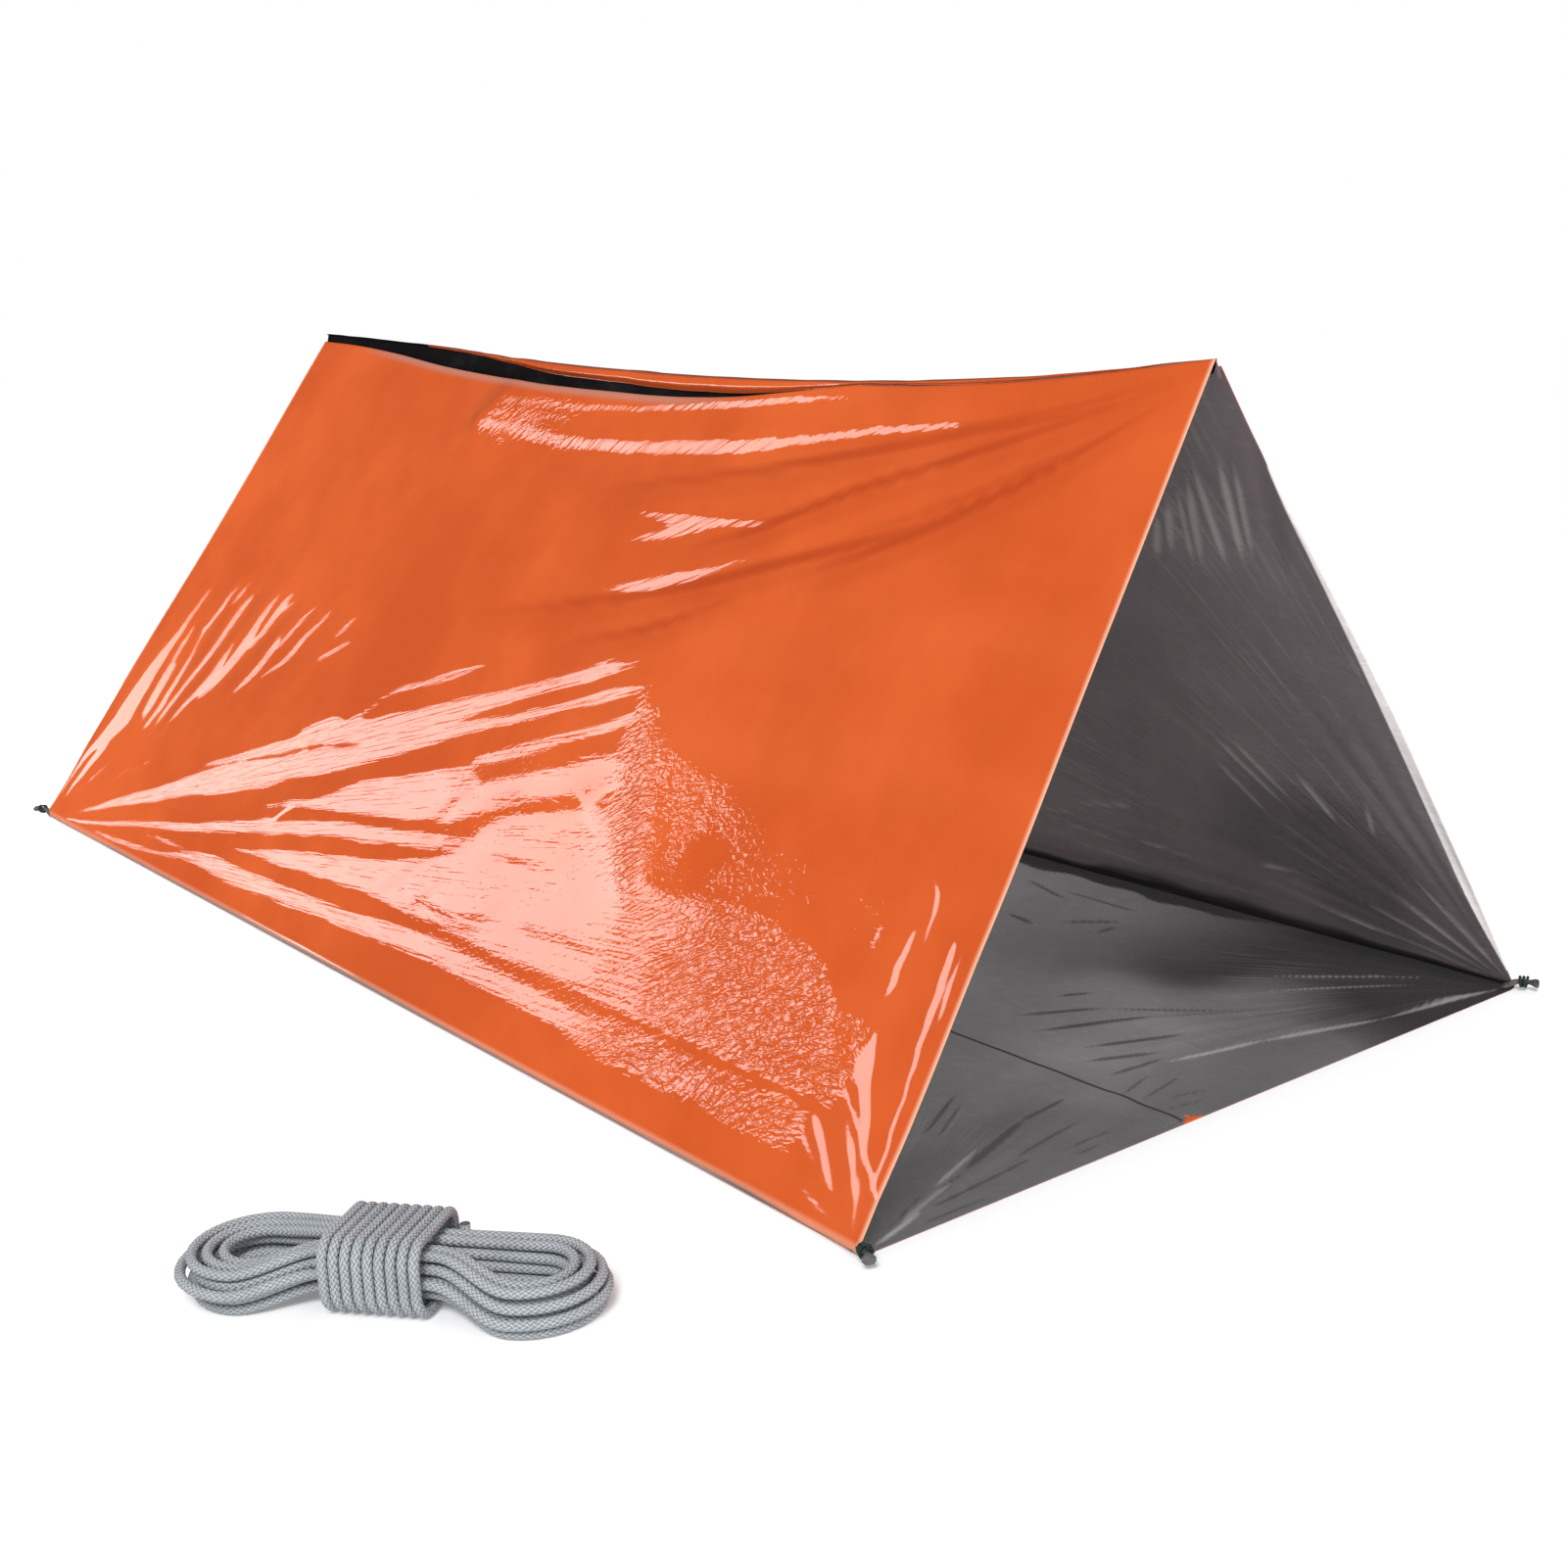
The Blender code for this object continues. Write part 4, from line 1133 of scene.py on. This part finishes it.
floorFilm = {
    # wrinkles: (x, y) from, (x, y) to, half width, height
    "wrinkles": (
        ((-0.52, -1.185), (-0.13, -1.045), 0.010, 0.0016),
        ((-0.50, -1.190), (-0.17, -1.130), 0.007, 0.0012),
        ((-0.50, -1.160), (-0.30, -1.020), 0.006, 0.0015),
        ((0.51, -1.188), (0.06, -1.062), 0.007, 0.006), ((0.44, -1.160), (0.00, -0.885), 0.012, 0.0024),
        ((0.40, -1.130), (0.00, -0.958), 0.009, 0.0018), ((0.36, -1.120), (-0.03, -1.000), 0.008, 0.0024),
        ((0.44, -1.130), (0.12, -0.860), 0.010, 0.0018), ((0.46, -1.120), (0.40, -0.860), 0.009, 0.0018),
        ((0.42, -0.640), (0.43, -0.480), 0.008, 0.004),
    ),
    # dark creases, painted as shade in the folds, and pale ones: (x, y) from, (x, y) to, half width
    "creases": (
        ((-0.125, -1.062), (-0.225, -1.080), 0.0040), ((-0.195, -1.072), (-0.365, -1.136), 0.0058),
        ((-0.330, -1.124), (-0.490, -1.184), 0.0036), ((-0.160, -1.122), (-0.300, -1.146), 0.0034),
        ((-0.250, -1.154), (-0.460, -1.176), 0.0034), ((-0.150, -1.160), (-0.240, -1.164), 0.0030),
        ((-0.175, -1.184), (-0.250, -1.178), 0.0022), ((-0.210, -0.966), (-0.325, -1.037), 0.0022),
        ((-0.225, -0.993), (-0.320, -1.054), 0.0018), ((-0.330, -1.188), (-0.485, -1.192), 0.0022),
        ((-0.400, -1.138), (-0.500, -1.182), 0.0022),
        ((0.010, -0.828), (0.110, -0.895), 0.0042), ((0.100, -0.892), (0.230, -1.020), 0.0028),
        ((-0.015, -0.884), (0.145, -0.966), 0.0052), ((0.120, -0.955), (0.260, -1.046), 0.0026),
        ((-0.010, -0.969), (0.120, -1.028), 0.0046), ((-0.045, -1.000), (0.050, -1.046), 0.0040),
        ((-0.055, -1.050), (0.040, -1.060), 0.0034), ((-0.090, -1.106), (-0.015, -1.081), 0.0028),
        ((-0.085, -1.128), (0.014, -1.109), 0.0028), ((-0.055, -1.140), (0.004, -1.158), 0.0024),
        ((-0.086, -1.162), (-0.014, -1.174), 0.0022), ((0.095, -0.818), (0.135, -0.842), 0.0036),
        ((0.433, -0.480), (0.436, -0.640), 0.0044), ((0.442, -0.396), (0.404, -0.530), 0.0030),
        ((0.320, -0.592), (0.386, -0.660), 0.0050), ((0.297, -0.660), (0.372, -0.674), 0.0040),
        ((0.300, -0.505), (0.290, -0.574), 0.0040), ((0.250, -1.012), (0.540, -1.180), 0.0022),
        ((0.330, -0.990), (0.546, -1.172), 0.0026), ((0.325, -0.890), (0.540, -1.150), 0.0024),
        ((0.160, -1.014), (0.420, -1.140), 0.0020), ((0.400, -0.930), (0.530, -1.130), 0.0026),
        ((0.440, -0.900), (0.535, -1.110), 0.0024),
    ),
    # pale glints along wrinkles, painted highlights: (x, y) from, (x, y) to, half width
    "glints": (
        ((0.024, -1.068), (0.170, -1.104), 0.0034), ((0.150, -1.100), (0.335, -1.158), 0.0042),
        ((0.310, -1.152), (0.530, -1.190), 0.0034), ((-0.365, -1.138), (-0.480, -1.180), 0.0030),
        ((-0.300, -1.100), (-0.400, -1.142), 0.0022), ((-0.440, -1.172), (-0.520, -1.193), 0.0026),
        ((0.300, -0.998), (0.450, -1.110), 0.0018), ((0.350, -0.960), (0.480, -1.100), 0.0016),
    ),
    "lap": {"left": -0.115, "right": -0.085, "step": 0.0012, "film": 0.0004, "seamShadowWidth": 0.0060},
    "flap": {"x": -0.072, "halfWidth": 0.015, "depth": 0.012},    # a corner of the outside folded in
}


def floorRelief(x, y):
    out = np.zeros_like(x)
    for start, end, width, height in floorFilm["wrinkles"]:
        along, across = onStroke(x, y, start, end)
        spread = width * (0.35 + 0.65 * np.clip(along, 0, 1))
        ends = ease(along, 0.0, 0.25) * ease(-along, -1.0, -0.7)
        out += height * ends * np.exp(-(across / spread) ** 2)
    for cx in (-halfWidth, halfWidth):
        for cy in (-halfLength, halfLength):
            angle = np.arctan2(np.abs(y - cy), np.abs(x - cx))
            far = np.hypot(x - cx, y - cy)
            out += 0.0022 * (1 + ripple(angle * 14 + cx * 9, far * 5, 51)) * ease(far, 0.0, 0.12) \
                * ease(-far, -0.7, -0.2)
    out += 0.0012 * (1 + ripple(x * 8, y * 6, 53))
    return out * ease(halfWidth - np.abs(x), 0.0, 0.05) * ease(halfLength - np.abs(y), 0.0, 0.02)


def floorShade(x, y):
    # painted shade: dark creases, the dark fold along the far wall's foot, a band darker towards the
    # front edge, and the dark area at the right front corner, all painted into the colour, not cast.
    fold = 0.032 * inside(y, -0.78, -0.15, 0.06) * (1 + 0.3 * ripple(y * 16, y * 0, 45)) + 0.006
    shade = np.maximum(0.75 * strokes(x, y, floorFilm["creases"], 0.0025),
                       0.9 * ease(x - 0.5385 + fold, -0.003, 0.003) * ease(-y, 0.05, 0.2))
    corner = 0.94 * ease(x + 0.10 * ripple(x * 7, y * 7, 47), 0.02, 0.38) * ease(-y, 0.50, 0.92)
    corner = np.maximum(corner, 0.48 * ease(-y + 0.06 * ripple(x * 9, y * 9, 48), 0.92, 1.14))
    return np.maximum(shade, corner)


def makeFloor():
    x = spaced((-0.5405, 0.5405, 186))
    y = spaced((-1.2, -0.78, 130), (-0.78, -0.3, 56), (-0.3, 1.2, 34))
    gx, gy = np.meshgrid(x, y, indexing="ij")
    rim = ease(np.abs(gx), 0.532, 0.5385)
    grid = np.stack([gx, gy, 0.0012 + floorRelief(gx, gy) + 0.0019 * rim], -1)
    glint = strokes(gx, gy, floorFilm["glints"], 0.0020)
    lap = floorFilm["lap"]
    rightOfLap = gx > (lap["left"] + lap["right"]) / 2
    corner = np.where(rightOfLap, halfWidth - gx, halfWidth + gx)    # from the corner the rays leave
    piece = filmSheet("floorFilm", grid, (0, 0, 1), tent["film"], (floorGrey, orange),
                      {"crinkle": 0.3 + 0 * gx, "streak": glint, "crease": floorShade(gx, gy),
                       **raysAround(corner, gy + halfLength, 0.42, 1.0)})
    flap = floorFilm["flap"]
    for polygon in piece.data.polygons:
        aside = abs(polygon.center.x - flap["x"]) / flap["halfWidth"]
        if polygon.center.y < flap["depth"] * (1 - aside) - halfLength:
            polygon.material_index = 1
    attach(piece, "floor")
    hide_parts("floor_sheet")
    x = spaced((lap["left"], lap["right"], 10))
    y = spaced((-1.195, -0.7, 110), (-0.7, 1.195, 90))
    gx, gy = np.meshgrid(x, y, indexing="ij")
    raised = lap["step"] * ease(gx, lap["left"], -0.098)
    grid = np.stack([gx, gy, 0.0014 + floorRelief(gx, gy) + raised], -1)
    # a dark line along the lap's right edge: painted shadow of the lap's step
    lapEdgeShadow = ease(gx, lap["right"] - lap["seamShadowWidth"], lap["right"] - 0.002)
    piece = filmSheet("floorLapSeam", grid, (0, 0, 1), lap["film"], (floorGrey, floorGrey),
                      {"crease": np.maximum(lapEdgeShadow, floorShade(gx, gy))})
    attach(piece, "floor")
    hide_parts("floor_lap_seam")


makeFloor()
print("floor made")


# Ground corners: the film runs together into a pleated tail, and the CAD's tie is wound round it

cornerTail = {
    "sides": 20, "pleat": 0.74, "turn": math.radians(63.3), "start": 0.0038, "axisHeight": 0.0115,
    # rings: (distance out of the corner, half width, half height, height below the axis)
    "rings": ((-0.020, 0.0150, 0.0022, 0.0090), (-0.014, 0.0125, 0.0042, 0.0070),
              (-0.008, 0.0090, 0.0052, 0.0045), (-0.002, 0.0052, 0.0046, 0.0012),
              (0.003, 0.0036, 0.0036, 0.0), (0.009, 0.0034, 0.0034, 0.0), (0.0155, 0.0036, 0.0036, 0.0),
              (0.0185, 0.0052, 0.0046, 0.0), (0.023, 0.0085, 0.0062, 0.0006),
              (0.026, 0.0080, 0.0056, 0.0012), (0.0265, 0.0050, 0.0034, 0.0012)),
}


def gatherMaterial():
    recipe = Recipe("gatheredFilm", Roughness=0.34, Specular_IOR_Level=0.35)
    place = recipe.place()
    crease = recipe.noise(place, 240.0, detail=3.0, roughness=0.6, distortion=0.8)
    mottle = recipe.noise(place, 60.0, detail=3.0)
    base = recipe.mix(mottle.between(0.35, 0.7), (0.050, 0.052, 0.052), (0.13, 0.125, 0.125))
    base = recipe.mix(crease.between(0.55, 0.75) * 0.5, base, (0.26, 0.25, 0.25))
    return recipe.finish(Base_Color=base, Normal=recipe.bump(crease, distance=0.0012))


def tieMaterial():
    recipe = Recipe("tieCordTwist", Roughness=0.7, Specular_IOR_Level=0.25)
    place = recipe.place()
    twist = recipe.wave(place, 0.0022, distortion=1.5, detailScale=2.0)
    fibre = recipe.noise(place, 900.0, detail=2.0)
    base = recipe.mix(twist, (0.010, 0.016, 0.015), (0.040, 0.060, 0.056))
    base = recipe.mix(fibre.between(0.5, 0.75) * 0.4, base, (0.10, 0.13, 0.12))
    return recipe.finish(Base_Color=base, Normal=recipe.bump(twist + fibre * 0.3, distance=0.0005))


def selectRing(mesh, height, every):
    # the vertices of one ring, or every second one of them
    vertices = [vertex for vertex in mesh.verts if abs(vertex.co.z - height) < 1e-5]
    middle = sum((vertex.co for vertex in vertices), Vector()) / len(vertices)
    vertices.sort(key=lambda vertex: math.atan2(vertex.co.y - middle.y, vertex.co.x - middle.x))
    bpy.ops.mesh.select_all(action="DESELECT")
    for vertex in vertices[::every]:
        vertex.select_set(True)
    mesh.select_flush(True)
    return middle


def modelTail(material):
    # a circle extruded ring by ring, with every second point of each ring drawn in as a pleat
    bpy.ops.object.select_all(action="DESELECT")
    rings = cornerTail["rings"]
    distance, width, height, below = rings[0]
    bpy.ops.mesh.primitive_circle_add(vertices=cornerTail["sides"], radius=1.0, fill_type="NGON",
                                      location=(0, 0, 0))
    tail = bpy.context.object
    bpy.ops.object.mode_set(mode="EDIT")
    bpy.ops.transform.resize(value=(width, height, 1.0))
    bpy.ops.transform.translate(value=(0, -below, distance))
    mesh = bmesh.from_edit_mesh(tail.data)
    for ring in rings[1:]:
        selectRing(mesh, distance, 1)
        bpy.ops.mesh.extrude_region_move(
            TRANSFORM_OT_translate={"value": (0, below - ring[3], ring[0] - distance)})
        mesh = bmesh.from_edit_mesh(tail.data)
        bpy.ops.transform.resize(value=(ring[1] / width, ring[2] / height, 1.0))
        distance, width, height, below = ring
    for ring in rings:
        middle = selectRing(mesh, ring[0], 2)
        bpy.ops.transform.resize(value=(cornerTail["pleat"], cornerTail["pleat"], 1.0),
                                 center_override=middle)
    bpy.ops.mesh.select_all(action="SELECT")
    bpy.ops.mesh.normals_make_consistent(inside=False)
    bpy.ops.object.mode_set(mode="OBJECT")
    smooth = tail.modifiers.new("smooth", "SUBSURF")
    smooth.levels = smooth.render_levels = 2
    bpy.ops.object.modifier_apply(modifier="smooth")
    bpy.ops.object.shade_smooth()
    tail.data.materials.append(material)
    return tail


def makeCorners():
    film, tie = gatherMaterial(), tieMaterial()
    pattern = modelTail(film)
    for end, endWord in ((-1, "front"), (1, "back")):
        for side, sideWord in ((-1, "left"), (1, "right")):
            outward = Vector((math.cos(cornerTail["turn"]) * side, math.sin(cornerTail["turn"]) * end, 0))
            above = Vector((0, 0, 1))
            turn = Matrix((above.cross(outward), above, outward)).transposed().to_4x4()
            place = (side * halfWidth, end * (halfLength + cornerTail["start"]), cornerTail["axisHeight"])
            piece = bpy.data.objects.new(f"cornerTail_{endWord}_{sideWord}", pattern.data.copy())
            piece.data.transform(Matrix.Translation(place) @ turn)
            bpy.context.collection.objects.link(piece)
            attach(piece, "floor")
            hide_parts(f"corner_gather_{endWord}_{sideWord}")
            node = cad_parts[f"corner_tie_{endWord}_{sideWord}"]
            if not node.material_slots:
                node.data.materials.append(tie)
            for index in range(len(node.material_slots)):
                node.material_slots[index].material = tie
    bpy.data.objects.remove(pattern)


makeCorners()
print("corners made")


# Stage and lights

stage = {"groundShade": 0.90, "groundGlow": 0.12, "skySeen": 1.0, "skyMirrored": 0.05,
         "skyLight": 0.42, "sun": 2.5, "sunAngle": 24,
         # soft panels: place, aim, size, power
         "panels": {"frontFill": ((-0.2, -4.2, 1.2), (0.1, -0.4, 0.3), 1.6, 18),
                    "backFill": ((0.1, 2.4, 0.7), (0.2, -0.2, 0.15), 1.0, 60)}}


def makeGround():
    bpy.ops.object.select_all(action="DESELECT")
    bpy.ops.mesh.primitive_plane_add(size=80, location=(0, 0, -0.0005))
    ground = bpy.context.object
    ground.name = "ground"
    recipe = Recipe("paleGround", Roughness=0.9, Specular_IOR_Level=0.1)
    grain = recipe.noise(recipe.place(), 40.0, detail=3.0)
    shade = stage["groundShade"]
    base = recipe.mix(grain, (shade, shade, shade), (shade + 0.03, shade + 0.03, shade + 0.03))
    ground.data.materials.append(recipe.finish(Base_Color=base, Emission_Color=(1, 1, 1, 1),
                                               Emission_Strength=stage["groundGlow"]))
    ground.visible_glossy = False
    ground.select_set(False)


def makeWorld():
    # a white backdrop that film mirrors only faintly
    world = bpy.data.worlds.new("studio")
    world.use_nodes = True
    tree = world.node_tree
    rays = tree.nodes.new("ShaderNodeLightPath")
    seen = tree.nodes.new("ShaderNodeMath")
    seen.operation = "MULTIPLY_ADD"
    seen.inputs[1].default_value = stage["skySeen"] - stage["skyLight"]
    seen.inputs[2].default_value = stage["skyLight"]
    mirrored = tree.nodes.new("ShaderNodeMath")
    mirrored.operation = "MULTIPLY_ADD"
    mirrored.inputs[1].default_value = stage["skyMirrored"] - stage["skyLight"]
    tree.links.new(rays.outputs["Is Camera Ray"], seen.inputs[0])
    tree.links.new(rays.outputs["Is Glossy Ray"], mirrored.inputs[0])
    tree.links.new(seen.outputs[0], mirrored.inputs[2])
    background = tree.nodes["Background"]
    background.inputs[0].default_value = (1, 1, 1, 1)
    tree.links.new(mirrored.outputs[0], background.inputs[1])
    bpy.context.scene.world = world


def makeSoftbox():
    places = [softbox["centre"] + across * boxRight + up * boxUp for across, up in softbox["corners"]]
    mesh = bpy.data.meshes.new("softbox")
    mesh.from_pydata([tuple(place) for place in places], [], [tuple(range(len(places)))])
    panel = bpy.data.objects.new("softbox", mesh)
    bpy.context.collection.objects.link(panel)
    recipe = Recipe("softboxGlow", Emission_Strength=softbox["radiance"],
                    Emission_Color=(1.0, 0.97, 0.95, 1.0), Base_Color=(0, 0, 0, 1))
    mesh.materials.append(recipe.material)
    panel.visible_camera = False
    panel.visible_diffuse = False
    panel.visible_shadow = False


def makeSun():
    sun = bpy.data.lights.new("overhead", "SUN")
    sun.energy, sun.angle = stage["sun"], math.radians(stage["sunAngle"])
    lamp = bpy.data.objects.new("overhead", sun)
    lamp.visible_glossy = False                   # only the softbox shows as a highlight
    lamp.rotation_mode = "QUATERNION"
    lamp.rotation_quaternion = Vector((0.50, 0.45, -0.74)).to_track_quat("-Z", "Y")
    bpy.context.collection.objects.link(lamp)


def makePanels():
    for name, (place, aim, size, power) in stage["panels"].items():
        data = bpy.data.lights.new(name, "AREA")
        data.size, data.energy = size, power
        panel = bpy.data.objects.new(name, data)
        panel.visible_glossy = False
        panel.location = place
        panel.rotation_mode = "QUATERNION"
        panel.rotation_quaternion = (Vector(aim) - Vector(place)).to_track_quat("-Z", "Y")
        bpy.context.collection.objects.link(panel)


makeGround()
makeWorld()
makeSoftbox()
makeSun()
makePanels()
bpy.context.scene.view_settings.view_transform = "Standard"
print("stage and lights made")
